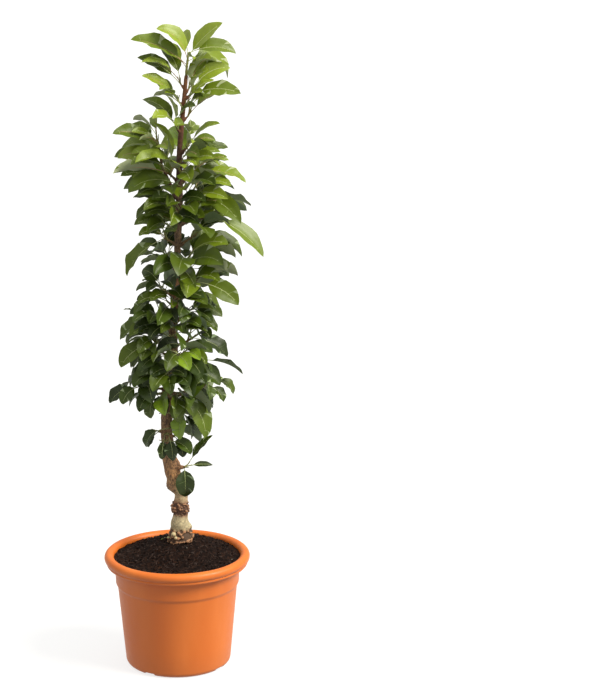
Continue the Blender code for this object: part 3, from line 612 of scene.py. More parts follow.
def new_crumb(dice, ball_points, ball_faces):
    """A worn lump that lies in the top of the compost, and which finish it has."""
    size = dice.uniform(*CRUMB_SIZES) * (BIG_CRUMB if dice.random() < BIG_CRUMB_SHARE else 1.0)
    x, y = place_on_top(dice, size)
    middle = Vector((x, y, soil_top(x, y) + 0.3 * size))
    stretch = Vector([dice.uniform(0.6, 1.3) for _ in range(3)])
    worn = [dice.uniform(0.75, 1.15) for _ in ball_points]
    shape = [middle + size * w * p * stretch for p, w in zip(ball_points, worn)]
    kind = 0 if dice.random() < PEAT_CRUMB_SHARE else 1
    return shape, ball_faces, 2 if dice.random() < GRIT_SHARE else kind


def new_fibre(dice):
    """A thin bent strip of bark that follows the lie of the compost, and which finish it has."""
    x, y = place_on_top(dice, 0.010)
    length, turn = dice.uniform(*FIBRE_LENGTHS), dice.uniform(0.0, 2.0 * math.pi)
    bend = dice.uniform(-FIBRE_BEND, FIBRE_BEND)
    path = []
    for share in (0.0, 0.33, 0.66, 1.0):
        lean = turn + bend * (share - 0.5)
        px = x + math.cos(lean) * length * (share - 0.5)
        py = y + math.sin(lean) * length * (share - 0.5)
        path.append(Vector((px, py, soil_top(px, py) + FIBRE_LIFT)))
    thick = dice.uniform(*FIBRE_RADII)
    points, faces = tube(path, [thick * 0.6, thick, thick, thick * 0.4], 3)
    return points, faces, 0 if dice.random() < DARK_FIBRE_SHARE else 1


crumb_form = small_ball(1)
soil_dice = random.Random(SOIL_SEED)
crumbs = [new_crumb(soil_dice, *crumb_form) for _ in range(LOOSE_CRUMBS)]
loose_crumbs = joined_mesh("loose_crumbs", crumbs, [moist_peat, bark_chip, grey_grit])
fibres = [new_fibre(soil_dice) for _ in range(FIBRES)]
bark_fibres = joined_mesh("bark_fibres", fibres, [bark_chip, dry_fibre])
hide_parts("potting_soil")
for piece in (compost, loose_crumbs, bark_fibres):
    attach(piece, "root")


# The trunk and its boughs.
# One woody stem, gnarled and thick at the foot, that bends back over the pot and thins to its tip,
# and five short boughs. Each limb is worked out by the same rule as its solid, and stands a hair
# clear of what carries it, until the bark grows over them all.
CLEAR = 0.0003
SEATING_STEPS = 12

# The trunk: height above the ground, shift to the right, radius.
TRUNK_BACK = 0.030
TRUNK_STATIONS = (
    (0.2353, 0.0058, 0.0178),
    (0.2560, 0.0055, 0.0172),
    (0.2700, 0.0055, 0.0172),
    (0.2860, 0.0072, 0.0146),
    (0.3020, 0.0076, 0.0148),
    (0.3180, 0.0092, 0.0130),
    (0.3290, 0.0105, 0.0130),
    (0.3400, 0.0010, 0.0152),
    (0.3610, -0.0036, 0.0155),
    (0.3810, -0.0092, 0.0148),
    (0.4010, -0.0132, 0.0132),
    (0.4570, -0.0172, 0.0114),
    (0.5340, -0.0136, 0.0112),
    (0.6050, -0.0040, 0.0100),
    (0.6770, -0.0009, 0.0078),
    (0.7270, 0.0045, 0.0078),
    (0.7580, 0.0068, 0.0085),
    (0.8080, 0.0084, 0.0066),
    (0.9000, 0.0133, 0.0070),
    (1.0010, 0.0146, 0.0052),
    (1.0800, 0.0230, 0.0044),
    (1.1360, 0.0288, 0.0034),
)
TRUNK_SIDES = 12
LOW_STEP = 0.0080
HIGH_STEP = 0.0280
GNARLED_BELOW = 0.4100

# Burr knots: height, bearing, half height, bulge.
BURRS = (
    (0.2400, 215.0, 0.0110, 0.0080),
    (0.2420, 295.0, 0.0100, 0.0060),
    (0.2480, 350.0, 0.0110, 0.0070),
    (0.2620, 15.0, 0.0080, 0.0070),
    (0.2460, 110.0, 0.0110, 0.0060),
    (0.3060, 190.0, 0.0090, 0.0040),
    (0.2980, 325.0, 0.0080, 0.0040),
    (0.3040, 70.0, 0.0090, 0.0040),
    (0.3460, 205.0, 0.0090, 0.0035),
    (0.3900, 350.0, 0.0120, 0.0050),
    (0.7330, 240.0, 0.0120, 0.0022),
)
BURR_SPREAD = 42.0

# Boughs: name, height on the trunk, bearing, rise, length, root and tip radius.
BOUGHS = (
    ("bough_left_shoot", 0.925, 200.0, 66.0, 0.060, 0.0036, 0.0026),
    ("bough_left_twig", 0.684, 184.0, 6.0, 0.046, 0.0026, 0.0017),
    ("bough_right_high", 0.862, 356.0, 14.0, 0.036, 0.0034, 0.0024),
    ("bough_right_mid", 0.526, 350.0, 20.0, 0.052, 0.0040, 0.0028),
    ("bough_right_low", 0.3860, 330.0, 8.0, 0.006, 0.0034, 0.0026),
)
BOUGH_SIDES = 6
TWIG_SIDES = 3
Twig = namedtuple("Twig", "foot tip foot_radius tip_radius")


def direction(bearing, slope):
    """A unit vector along a bearing, at a slope above the level, both in degrees."""
    across = math.cos(math.radians(slope))
    return Vector(
        (
            across * math.cos(math.radians(bearing)),
            across * math.sin(math.radians(bearing)),
            math.sin(math.radians(slope)),
        )
    )


def between(rows, height):
    """The values beside a height in rows that start with a height, joined by straight lines."""
    if height <= rows[0][0]:
        return rows[0][1:]
    for low, high in zip(rows, rows[1:]):
        if height <= high[0]:
            share = (height - low[0]) / (high[0] - low[0])
            return tuple(a + (b - a) * share for a, b in zip(low[1:], high[1:]))
    return rows[-1][1:]


def trunk_axis(height):
    """The middle of the trunk at a height."""
    return Vector((between(TRUNK_STATIONS, height)[0], TRUNK_BACK, height))


def trunk_radius(height, bearing):
    """The trunk's radius, with the burr knots that swell it."""
    radius = between(TRUNK_STATIONS, height)[1]
    for place, side, half_height, bulge in BURRS:
        turn = (bearing - side + 180.0) % 360.0 - 180.0
        away = ((height - place) / half_height) ** 2 + (turn / BURR_SPREAD) ** 2
        radius += bulge * math.exp(-away)
    return radius


def trunk_surface(height, bearing):
    """A point of the trunk's plain skin."""
    return trunk_axis(height) + trunk_radius(height, bearing) * direction(bearing, 0.0)


def limb_heights(low_step, high_step):
    """The heights of the trunk's rings, closer where it is gnarled."""
    heights, height = [], TRUNK_STATIONS[0][0]
    while height < TRUNK_STATIONS[-1][0]:
        heights.append(height)
        height += low_step if height < GNARLED_BELOW else high_step
    return heights + [TRUNK_STATIONS[-1][0]]


def trunk_skin(heights, sides):
    """The trunk as a closed skin over rings at some heights."""
    bearings = [360.0 * i / sides for i in range(sides)]
    return lofted([[trunk_surface(h, b) for b in bearings] for h in heights])


def twig_shape(twig, sides, spread=0.0):
    """A twig or bough as a closed, straight, tapering skin."""
    axis = (twig.tip - twig.foot).normalized()
    foot = ring_round(twig.foot, axis, twig.foot_radius + spread, sides)
    tip = ring_round(twig.tip, axis, twig.tip_radius + spread, sides)
    return lofted([foot, tip])


def triangles_tree(points, faces):
    """A closed skin in the form that distances and touches are read from."""
    return BVHTree.FromPolygons([tuple(p) for p in points], faces)


def seated(twig, tree, sides):
    """The twig slid along itself until its foot stands clear of what carries it by the set gap."""
    axis = (twig.tip - twig.foot).normalized()
    for _ in range(SEATING_STEPS):
        ring = ring_round(twig.foot, axis, twig.foot_radius, sides)
        centre = (tree.find_nearest(twig.foot)[0] - twig.foot).length
        nearest = min([centre] + [tree.find_nearest(p)[3] for p in ring])
        shift = axis * (CLEAR - nearest)
        twig = twig._replace(foot=twig.foot + shift, tip=twig.tip + shift)
    return twig


def on_trunk(height, bearing, rise, length, foot_radius, tip_radius, trunk_tree, sides):
    """A limb whose foot stands just clear of the bark."""
    out = trunk_surface(height, bearing) + direction(bearing, 0.0) * 2.0 * foot_radius
    limb = Twig(out, out + direction(bearing, rise) * length, foot_radius, tip_radius)
    return seated(limb, trunk_tree, sides)


rule_trunk = trunk_skin(limb_heights(LOW_STEP, HIGH_STEP), TRUNK_SIDES)
rule_trunk_tree = triangles_tree(*rule_trunk)
boughs = {}
for name, height, bearing, *sizes in BOUGHS:
    limb = on_trunk(height, bearing, *sizes, rule_trunk_tree, BOUGH_SIDES)
    boughs[name] = (limb, bearing)


# The rule of the crown.
# The plant's own way of growing, the same as in the solids: spurs stand on the trunk, leaves
# spring from them by seeded dice, and a leaf that finds no room or leaves the crown is left out.

# The crown's outline, as height, left edge and right edge.
CROWN_OUTLINE = (
    (0.320, -0.040, 0.035),
    (0.380, -0.050, 0.035),
    (0.430, -0.066, 0.046),
    (0.462, -0.062, 0.064),
    (0.485, -0.042, 0.092),
    (0.515, -0.112, 0.092),
    (0.570, -0.100, 0.100),
    (0.630, -0.100, 0.070),
    (0.690, -0.100, 0.095),
    (0.730, -0.075, 0.110),
    (0.785, -0.090, 0.160),
    (0.830, -0.070, 0.165),
    (0.885, -0.085, 0.145),
    (0.940, -0.108, 0.128),
    (0.985, -0.116, 0.100),
    (1.010, -0.090, 0.086),
    (1.040, -0.082, 0.076),
    (1.062, -0.074, 0.090),
    (1.080, -0.046, 0.095),
    (1.105, -0.065, 0.128),
    (1.160, -0.082, 0.120),
    (1.210, -0.078, 0.105),
    (1.240, -0.050, 0.098),
)
OUTLINE_SLACK = 0.004
CROWN_DEPTH = 0.115

# Masses of foliage on the boughs: bough, stem length, rise, leaves, and where the tips of the
# first leaves come. Each tip is a bearing, a reach from the trunk's axis and a height.
BOUGH_MASSES = (
    ("bough_left_shoot", 0.046, 80.0, 10, (200.0, 0.130, 1.036)),
    ("bough_left_twig", 0.018, 8.0, 3, (184.0, 0.096, 0.696)),
    ("bough_right_high", 0.024, 10.0, 5, (356.0, 0.158, 0.795)),
    ("bough_right_mid", 0.016, 40.0, 10, (350.0, 0.106, 0.516), (342.0, 0.122, 0.475)),
    ("bough_right_low", 0.008, 14.0, 3),
)

# Spurs on the trunk: height, bearing, stem length, leaves, and the tips of the first leaves.
SPURS = (
    (0.4560, 196.0, 0.004, 3, (196.0, 0.037, 0.426)),
    (0.4540, 262.0, 0.008, 5, (256.0, 0.040, 0.410), (284.0, 0.044, 0.408)),
    (0.4480, 318.0, 0.008, 4, (318.0, 0.040, 0.410)),
    (0.5100, 316.0, 0.018, 5, (316.0, 0.062, 0.450), (294.0, 0.055, 0.452)),
    (0.5320, 212.0, 0.014, 4, (212.0, 0.038, 0.486)),
    (0.5340, 332.0, 0.030, 5, (332.0, 0.078, 0.450), (290.0, 0.052, 0.486)),
    (0.5400, 184.0, 0.046, 7, (184.0, 0.112, 0.514)),
    (0.5850, 350.0, 0.052, 5, (350.0, 0.138, 0.571)),
    (0.6050, 160.0, 0.022, 5, (160.0, 0.080, 0.574), (200.0, 0.062, 0.545)),
    (0.6240, 196.0, 0.028, 6, (196.0, 0.102, 0.589)),
    (0.6260, 14.0, 0.034, 6, (14.0, 0.108, 0.593)),
    (0.6730, 172.0, 0.030, 5, (172.0, 0.103, 0.632)),
    (0.6780, 346.0, 0.020, 6, (346.0, 0.084, 0.654)),
    (0.7120, 26.0, 0.022, 5, (26.0, 0.095, 0.677)),
    (0.7250, 204.0, 0.018, 6, (204.0, 0.086, 0.694)),
    (0.7360, 344.0, 0.036, 5, (344.0, 0.121, 0.708)),
    (0.7600, 30.0, 0.024, 5, (30.0, 0.115, 0.744)),
    (0.7860, 340.0, 0.018, 5, (340.0, 0.093, 0.783)),
    (0.7850, 158.0, 0.014, 6, (158.0, 0.075, 0.774)),
    (0.8220, 10.0, 0.034, 5, (10.0, 0.123, 0.789)),
    (0.8240, 190.0, 0.022, 5, (190.0, 0.097, 0.762)),
    (0.8500, 216.0, 0.010, 5, (216.0, 0.070, 0.846)),
    (0.8880, 12.0, 0.044, 6, (12.0, 0.139, 0.885), (338.0, 0.122, 0.866)),
    (0.8980, 196.0, 0.016, 6, (196.0, 0.084, 0.874)),
    (0.9090, 330.0, 0.020, 5, (330.0, 0.104, 0.914)),
    (0.9190, 150.0, 0.026, 5, (150.0, 0.122, 0.914)),
    (0.9420, 352.0, 0.034, 6, (352.0, 0.125, 0.938)),
    (0.9440, 200.0, 0.032, 6, (200.0, 0.130, 0.962), (214.0, 0.058, 1.054)),
    (0.9700, 160.0, 0.030, 5, (160.0, 0.130, 0.978)),
    (0.9740, 20.0, 0.020, 6, (20.0, 0.098, 0.996)),
    (0.9980, 335.0, 0.012, 4, (335.0, 0.083, 1.052)),
    (1.0360, 216.0, 0.006, 3, (216.0, 0.032, 1.102)),
    (1.0580, 12.0, 0.010, 3, (12.0, 0.076, 1.102)),
    (1.0860, 196.0, 0.008, 3, (196.0, 0.080, 1.139)),
    (1.0980, 344.0, 0.010, 3, (344.0, 0.108, 1.106)),
    (1.1100, 28.0, 0.007, 3, (28.0, 0.068, 1.159)),
    (1.1180, 176.0, 0.007, 3, (176.0, 0.088, 1.169)),
)
SPUR_RADIUS = 0.0024
LEADER_ABOVE = 1.030
LEADER_SPUR_RADIUS = 0.0016

# More spurs stand to the front and the back of the trunk: height and bearing.
FACING_SPURS = (
    (0.5740, 296.0),
    (0.6060, 304.0),
    (0.6400, 96.0),
    (0.6580, 278.0),
    (0.7040, 252.0),
    (0.7700, 288.0),
    (0.8400, 82.0),
    (0.8780, 262.0),
    (0.9520, 280.0),
)
VIEWER = 270.0
FACING_STEM = 0.018
FACING_LEAVES = 6
GOLDEN_SHARE = 0.618
LEAF_SWING = 112.0
UNDERSIDE_SHARE = 0.2
FOLDS = (12.0, 30.0)
ROLLS = (16.0, 58.0)
LEAF_REACH = 0.080

# The tuft on the trunk's tip, and the leaves of the lowest twig: bearing, reach and height of the
# leaf's tip, the angle it bends down through, width over length, the stalk's length and the roll.
TUFT_STEM = 0.030
TUFT_LEAVES = (
    (190.0, 0.055, 1.2230, 80.0, 0.52, 0.016, -44.0),
    (350.0, 0.069, 1.2340, 24.0, 0.54, 0.014, 42.0),
    (4.0, 0.091, 1.1760, 60.0, 0.50, 0.020, 44.0),
    (186.0, 0.102, 1.2040, 42.0, 0.46, 0.020, -42.0),
    (240.0, 0.014, 1.2120, 20.0, 0.44, 0.010, -45.0),
    (95.0, 0.062, 1.2080, 56.0, 0.54, 0.018, -40.0),
    (142.0, 0.074, 1.1840, 62.0, 0.52, 0.020, -20.0),
    (38.0, 0.096, 1.1200, 112.0, 0.46, 0.020, 48.0),
    (290.0, 0.040, 1.1700, 70.0, 0.56, 0.010, -42.0),
)
LOW_TWIG_LEAVES = (
    (352.0, 0.082, 0.3890, 30.0, 0.34, 0.022, 47.0),
    (350.0, 0.083, 0.4500, 18.0, 0.44, 0.018, 34.0),
    (322.0, 0.034, 0.3295, 60.0, 0.78, 0.006, 8.0),
)

# Habit by height: height, spur's rise, leaf's start slope and end slope, blade's length, and its
# width over its length.
LEAF_HABIT = (
    (0.40, 4.0, 0.0, -84.0, 0.050, 0.80),
    (0.53, 6.0, 8.0, -74.0, 0.058, 0.72),
    (0.62, 22.0, 24.0, -56.0, 0.070, 0.62),
    (0.75, 30.0, 32.0, -46.0, 0.078, 0.56),
    (0.90, 34.0, 40.0, -32.0, 0.086, 0.50),
    (1.05, 44.0, 48.0, -20.0, 0.090, 0.46),
    (1.13, 50.0, 56.0, -10.0, 0.092, 0.45),
)
PETIOLE = 0.022
LONGEST_PETIOLE_SHARE = 0.30
LEAD_BEND = (0.5, 0.8)
PETIOLE_RADIUS = 0.0010
PETIOLE_FOOT_RADIUS = 0.0005
LEAF_THICKNESS = 0.0014
LEAF_TRIES = 22
SHORTEST_LEAF = 0.040
SEED = 41
PETIOLE_STEPS = 4
BLADE_STEPS = 12
BLADE_SECTIONS = (2, 6, 10)
TEST_SPREAD = 0.0010
Leaf = namedtuple("Leaf", "root heading start end roll petiole length width fold")
Habit = namedtuple("Habit", "rise start end length width_share")
Mass = namedtuple("Mass", "name twigs bearing count habit tips own_leaves random leaves")


def leaf_frames(leaf, petiole_steps=PETIOLE_STEPS, blade_steps=BLADE_STEPS):
    """Points down the leaf with their forward, side and upper directions, root to tip."""
    total = leaf.petiole + leaf.length
    steps = [leaf.petiole / petiole_steps] * petiole_steps
    steps += [leaf.length / blade_steps] * blade_steps
    point, gone, frames = leaf.root.copy(), 0.0, []
    for step in [*steps, 0.0]:
        slope = leaf.start + (leaf.end - leaf.start) * (gone / total) ** 1.4
        forward = direction(leaf.heading, slope)
        level_side = direction(leaf.heading + 90.0, 0.0)
        upper = forward.cross(level_side)
        roll = math.radians(leaf.roll)
        side = level_side * math.cos(roll) + upper * math.sin(roll)
        frames.append((point.copy(), forward, side, forward.cross(side)))
        point += forward * step
        gone += step
    return frames


def half_width(leaf, share):
    """Half the blade's width at a share of its length, widest a little below the middle."""
    return leaf.width / 2.0 * math.sin(math.pi * share**0.88) ** 0.78


def leaf_section(frame, half, fold, thickness):
    """Four points round a folded blade or a round stalk: left edge, underside, right edge, top."""
    centre, _, side, upper = frame
    out, up = half * math.cos(fold), half * math.sin(fold)
    return [
        centre + side * out + upper * up,
        centre + upper * thickness / 2.0,
        centre - side * out + upper * up,
        centre - upper * thickness / 2.0,
    ]


def leaf_shape(leaf, part="whole", spread=0.0):
    """A closed leaf on its stalk. A part and a spread give the fatter shapes that test for room."""
    frames = leaf_frames(leaf)
    stalk_foot, stalk_end = PETIOLE_FOOT_RADIUS + spread, PETIOLE_RADIUS + spread
    sections = []
    if part != "blade":
        sections.append(leaf_section(frames[0], stalk_foot, 0.0, 2.0 * stalk_foot))
    sections.append(leaf_section(frames[PETIOLE_STEPS], stalk_end, 0.0, 2.0 * stalk_end))
    if part == "petiole":
        return lofted(sections)
    for step in BLADE_SECTIONS:
        half = half_width(leaf, step / BLADE_STEPS) + spread
        frame = frames[PETIOLE_STEPS + step]
        fold = math.radians(leaf.fold)
        sections.append(leaf_section(frame, half, fold, LEAF_THICKNESS + 2.0 * spread))
    tip, forward = frames[-1][:2]
    return lofted(sections, tip + forward * spread)


def box_of(points):
    """The lowest and highest value of some points on each axis."""
    return [(min(p[k] for p in points), max(p[k] for p in points)) for k in range(3)]


def apart(a, b):
    """True where two such boxes don't meet."""
    return any(p[1] < q[0] or q[1] < p[0] for p, q in zip(a, b))


class Room:
    """What already stands in the crown, and whether a new shape would touch it."""

    def __init__(self):
        self.held = []

    def add(self, shape, kind, owner):
        self.held.append((box_of(shape[0]), triangles_tree(*shape), (kind, owner)))

    def free(self, shape, grown_from=()):
        """True where a shape touches nothing but the pieces it grows from."""
        box, tree = box_of(shape[0]), triangles_tree(*shape)
        for other_box, other_tree, other in self.held:
            if other in grown_from or apart(box, other_box):
                continue
            if tree.overlap(other_tree):
                return False
        return True


def crown_side(height):
    """The middle and half width of the crown at a height."""
    left, right = between(CROWN_OUTLINE, height)
    return (left + right) / 2.0, (right - left) / 2.0


def outside_share(point, slack=OUTLINE_SLACK):
    """Over 1 where a point lies outside the crown's oval outline at its height."""
    middle, half = crown_side(point.z)
    across = (point.x - middle) / (half + slack)
    deep = (point.y - TRUNK_BACK) / (min(half, CROWN_DEPTH) + slack)
    return across * across + deep * deep


def distance_to_outline(point, heading):
    """How far a level line from a point runs before it leaves the crown's outline."""
    step, gone = 0.004, 0.0
    ahead = direction(heading, 0.0)
    while gone < 0.2 and outside_share(point + ahead * gone, 0.0) < 1.0:
        gone += step
    return gone


def leaf_to_tip(root, tip, bend, petiole, widest, width_share, roll, fold):
    """The leaf that springs from a root, bends down by an angle and ends at a tip."""
    chord = tip - root
    level = math.hypot(chord.x, chord.y)
    heading = math.degrees(math.atan2(chord.y, chord.x))
    trial = Leaf(Vector(), 0.0, 0.0, -bend, 0.0, 0.25, 0.75, 1.0, 0.0)
    reached = leaf_frames(trial)[-1][0]
    turn = math.atan2(chord.z, level) - math.atan2(reached.z, reached.x)
    start = math.degrees(turn)
    total = chord.length / reached.length
    petiole = min(petiole, LONGEST_PETIOLE_SHARE * total)
    length = total - petiole
    width = min(length, widest) * width_share
    return Leaf(root, heading, start, start - bend, roll, petiole, length, width, fold)


def outward_roll(root, heading, dice):
    """The roll that turns a leaf's face out of the crown, and now and then the other way."""
    middle = root + direction(heading, 0.0) * LEAF_REACH / 2.0
    outward = middle - trunk_axis(root.z) + 0.02 * direction(VIEWER, 0.0)
    side = 1.0 if outward.dot(direction(heading + 90.0, 0.0)) < 0.0 else -1.0
    if dice.random() < UNDERSIDE_SHARE:
        side = -side
    return side * dice.uniform(*ROLLS)


def leaf_by_dice(mass, root, turn, fraction):
    """A leaf of the mass's habit that arches out to the crown's outline."""
    dice = mass.random
    swing = 2.0 * ((turn * GOLDEN_SHARE + dice.uniform(-0.1, 0.1)) % 1.0) - 1.0
    heading = mass.bearing + LEAF_SWING * swing
    start = mass.habit.start + 18.0 * (fraction - 0.4) + dice.uniform(-14.0, 14.0)
    end = mass.habit.end + 26.0 * (fraction - 0.5) + dice.uniform(-16.0, 16.0)
    petiole = PETIOLE * dice.uniform(0.75, 1.25)
    level_share = math.cos(math.radians((start + end) / 2.0 * 0.8))
    wanted = distance_to_outline(root, heading) * dice.uniform(0.86, 1.02) / max(level_share, 0.35)
    longest = mass.habit.length * dice.uniform(0.86, 1.10)
    length = min(max(wanted - petiole, SHORTEST_LEAF), longest)
    width = length * mass.habit.width_share * dice.uniform(0.90, 1.10)
    roll = outward_roll(root, heading, dice)
    return Leaf(root, heading, start, end, roll, petiole, length, width, dice.uniform(*FOLDS))


def new_leaf(mass, turn, attempt):
    """The next leaf of a mass: one that is listed, one at the crown's edge, or one by its dice."""
    dice = mass.random
    twig = mass.twigs[turn % len(mass.twigs)]
    along = 0.94 - 0.26 * (turn // len(mass.twigs)) + dice.uniform(-0.05, 0.03)
    root = twig.foot.lerp(twig.tip, max(along, 0.35))
    loose = 0.002 * attempt * Vector([dice.uniform(-1.0, 1.0) for _ in range(3)])
    petiole = PETIOLE * dice.uniform(0.85, 1.1)
    fold = dice.uniform(*FOLDS)
    widest = mass.habit.length
    if turn < len(mass.own_leaves):
        bearing, reach, tip_height, bend, share, petiole, roll = mass.own_leaves[turn]
        tip = tip_place(twig.foot.z, (bearing, reach, tip_height)) + loose
        return leaf_to_tip(root, tip, bend, petiole, widest, share, roll, fold)
    if turn < len(mass.tips) and attempt < LEAF_TRIES / 2:
        bend = (mass.habit.start - mass.habit.end) * dice.uniform(*LEAD_BEND)
        roll = outward_roll(root, mass.tips[turn][0], dice)
        tip = tip_place(twig.foot.z, mass.tips[turn]) + loose
        return leaf_to_tip(root, tip, bend, petiole, widest, mass.habit.width_share, roll, fold)
    return leaf_by_dice(mass, root, turn, (turn + 0.5) / mass.count)


def touches_nothing(leaf, room, owner, blade_spread, petiole_spread):
    """True where a leaf touches nothing but the twigs and stalks of its own mass."""
    blade = leaf_shape(leaf, "blade", blade_spread)
    petiole = leaf_shape(leaf, "petiole", petiole_spread)
    own_twigs = (("twig", owner), ("petiole", owner))
    return room.free(blade) and room.free(petiole, own_twigs)


def leaf_fits(leaf, room, owner, within):
    """True where a leaf keeps to the crown's outline, if asked, and touches nothing."""
    points = leaf_shape(leaf)[0]
    if within and any(outside_share(p) > 1.0 for p in points):
        return False
    if min(p.z for p in points) < SOIL_CROWN:
        return False
    return touches_nothing(leaf, room, owner, TEST_SPREAD, TEST_SPREAD / 2.0)


def keep_leaf(leaf, mass, room, spread=0.0):
    """Gives a leaf its place in its mass and in the crown."""
    room.add(leaf_shape(leaf, "blade", spread), "blade", mass.name)
    room.add(leaf_shape(leaf, "petiole"), "petiole", mass.name)
    mass.leaves.append(leaf)


def twigs_on(stem, bearing, count, dice):
    """The stem itself and the short twigs that fork from it, more of them for more leaves."""
    length = (stem.tip - stem.foot).length
    slope = math.degrees(math.asin((stem.tip - stem.foot).normalized().z))
    twigs = [stem]
    forks = 0 if count < 3 else 1 if count < 6 else 2
    for place, side in ((0.62, 52.0), (0.80, -48.0))[:forks]:
        foot = stem.foot.lerp(stem.tip, place)
        ahead = direction(bearing + side + dice.uniform(-12.0, 12.0), min(slope + 12.0, 80.0))
        reach = min(0.5 * length, 0.016) + dice.uniform(0.002, 0.005)
        radii = (stem.tip_radius * 0.95, stem.tip_radius * 0.8)
        twigs.append(Twig(foot, foot + ahead * reach, *radii))
    return twigs


def new_mass(room, name, carrier, make_stem, bearing, count, tips, seed, own_leaves=()):
    """A mass whose twigs find room: its stem is turned on round the limb until they do."""
    for turned in (0.0, 24.0, -24.0, 48.0, -48.0, 72.0, -72.0):
        dice = random.Random(seed)
        stem = make_stem(bearing + turned)
        twigs = twigs_on(stem, bearing + turned, count, dice)
        shapes = [twig_shape(twig, TWIG_SIDES, TEST_SPREAD) for twig in twigs]
        grown_from = (("limb", carrier),)
        if room.free(shapes[0], grown_from) and all(room.free(shape) for shape in shapes[1:]):
            break
    for shape in shapes:
        room.add(shape, "twig", name)
    habit = Habit(*between(LEAF_HABIT, stem.tip.z))
    return Mass(name, twigs, bearing + turned, count, habit, tips, own_leaves, dice, [])


def tip_place(height, tip):
    """Where a leaf tip comes: its bearing and reach from the trunk's axis, and its height."""
    bearing, reach, tip_height = tip
    place = trunk_axis(height) + direction(bearing, 0.0) * reach
    place.z = tip_height
    return place


def bough_masses(room, boughs):
    """The masses carried on the tips of the boughs."""
    masses = []
    for k, (name, length, rise, count, *tips) in enumerate(BOUGH_MASSES):
        limb, bearing = boughs[name]
        axis = (limb.tip - limb.foot).normalized()

        def make_stem(turned):
            ahead = direction(turned, rise)
            clear = CLEAR + limb.tip_radius * math.sin(axis.angle(ahead))
            foot = limb.tip + axis * clear
            return Twig(foot, foot + ahead * length, limb.tip_radius, limb.tip_radius * 0.8)

        label = name.replace("bough", "foliage")
        own = LOW_TWIG_LEAVES if name == "bough_right_low" else ()
        masses.append(new_mass(room, label, name, make_stem, bearing, count, tips, SEED + k, own))
    return masses


def spur_rows():
    """Every spur on the trunk: the ones at the sides, then the ones to the front and the back."""
    rows = list(SPURS)
    for height, bearing in FACING_SPURS:
        _, start, end, length, _ = between(LEAF_HABIT, height)
        reach = FACING_STEM + 0.9 * (PETIOLE + length)
        tip_height = height + length * math.sin(math.radians(0.4 * start + 0.5 * end))
        rows.append((height, bearing, FACING_STEM, FACING_LEAVES, (bearing, reach, tip_height)))
    return rows


def spur_stem(height, length, radius, trunk_tree):
    """How a spur stands out from the trunk at a height, for any bearing that it is turned to."""
    sizes = (between(LEAF_HABIT, height)[0], length, radius, radius * 0.85)
    return lambda bearing: on_trunk(height, bearing, *sizes, trunk_tree, TWIG_SIDES)


def trunk_masses(room, trunk_tree):
    """The masses set on the trunk itself: its spurs, and the tuft on its tip."""
    masses = []
    for i, (height, first, length, count, *tips) in enumerate(spur_rows()):
        radius = LEADER_SPUR_RADIUS if height > LEADER_ABOVE else SPUR_RADIUS
        stem = spur_stem(height, length, radius, trunk_tree)
        label = f"foliage_spur_{i + 1:02d}"
        masses.append(new_mass(room, label, "trunk", stem, first, count, tips, 100 + SEED + i))
    top = trunk_axis(TRUNK_STATIONS[-1][0]) + Vector((0.0, 0.0, CLEAR))

    def make_tuft_stem(_):
        return Twig(top, top + Vector((0.003, 0.0, TUFT_STEM)), 0.0026, 0.0018)

    own = TUFT_LEAVES
    label = "foliage_tuft"
    masses.append(new_mass(room, label, "trunk", make_tuft_stem, 0.0, len(own), (), SEED, own))
    return masses


def grow_leaves(masses, room):
    """Deals leaves to the masses in turn. One that finds no room in its tries is left out."""
    for turn in range(max(mass.count for mass in masses)):
        for mass in masses:
            if turn >= mass.count:
                continue
            for attempt in range(LEAF_TRIES):
                leaf = new_leaf(mass, turn, attempt)
                free_reach = turn < max(len(mass.tips), len(mass.own_leaves))
                if leaf_fits(leaf, room, mass.name, within=not free_reach):
                    keep_leaf(leaf, mass, room)
                    break


room_in_crown = Room()
room_in_crown.add(rule_trunk, "limb", "trunk")
for name, (limb, _) in boughs.items():
    room_in_crown.add(twig_shape(limb, BOUGH_SIDES, TEST_SPREAD), "limb", name)
masses = bough_masses(room_in_crown, boughs) + trunk_masses(room_in_crown, rule_trunk_tree)
grow_leaves(masses, room_in_crown)

# The same rule carried on to finer growth: thin twigs fork from each mass's own, and thinner
# leaves fill in between the first ones, within the same outline and touching nothing.
FINE_SEED = 9
FINE_TWIG_RADIUS = 0.0009
FINE_REACH = (0.009, 0.018)
FINE_FORKS = ((0.95, 34.0), (0.80, -40.0))

# Extra leaves wanted on a mass: height, number.
FINE_LEAVES = (
    (0.36, 0.0),
    (0.43, 6.0),
    (0.60, 6.0),
    (0.80, 4.0),
    (0.95, 2.0),
    (1.02, 1.0),
    (1.10, 0.0),
)
FINE_LENGTHS = (0.70, 1.0)
FINE_SHORTEST = 0.046
FINE_OUTLINE = 0.72
FINE_TRIES = 14
FINE_THINNER = -0.0005

# Short spurs that hide the trunk's front: height, bearing.
FINE_SPURS = (
    (0.440, 248.0),
    (0.466, 286.0),
    (0.495, 262.0),
    (0.528, 292.0),
    (0.566, 246.0),
    (0.603, 284.0),
    (0.640, 258.0),
    (0.668, 290.0),
    (0.880, 262.0),
    (0.925, 292.0),
    (0.965, 256.0),
    (1.072, 272.0),
)
FINE_SPUR_STEM = 0.012
FINE_SPUR_LEAVES = 4
fine_dice = random.Random(FINE_SEED)


def finer_masses(room, trunk_tree):
    """Short spurs on the front of the trunk, of the same habit as the rule's own."""
    found = []
    for k, (height, bearing) in enumerate(FINE_SPURS):
        stem = spur_stem(height, FINE_SPUR_STEM, LEADER_SPUR_RADIUS, trunk_tree)
        wants = (FINE_SPUR_LEAVES, (), FINE_SEED + k)
        found.append(new_mass(room, f"short_spur_{k + 1}", "trunk", stem, bearing, *wants))
    return found


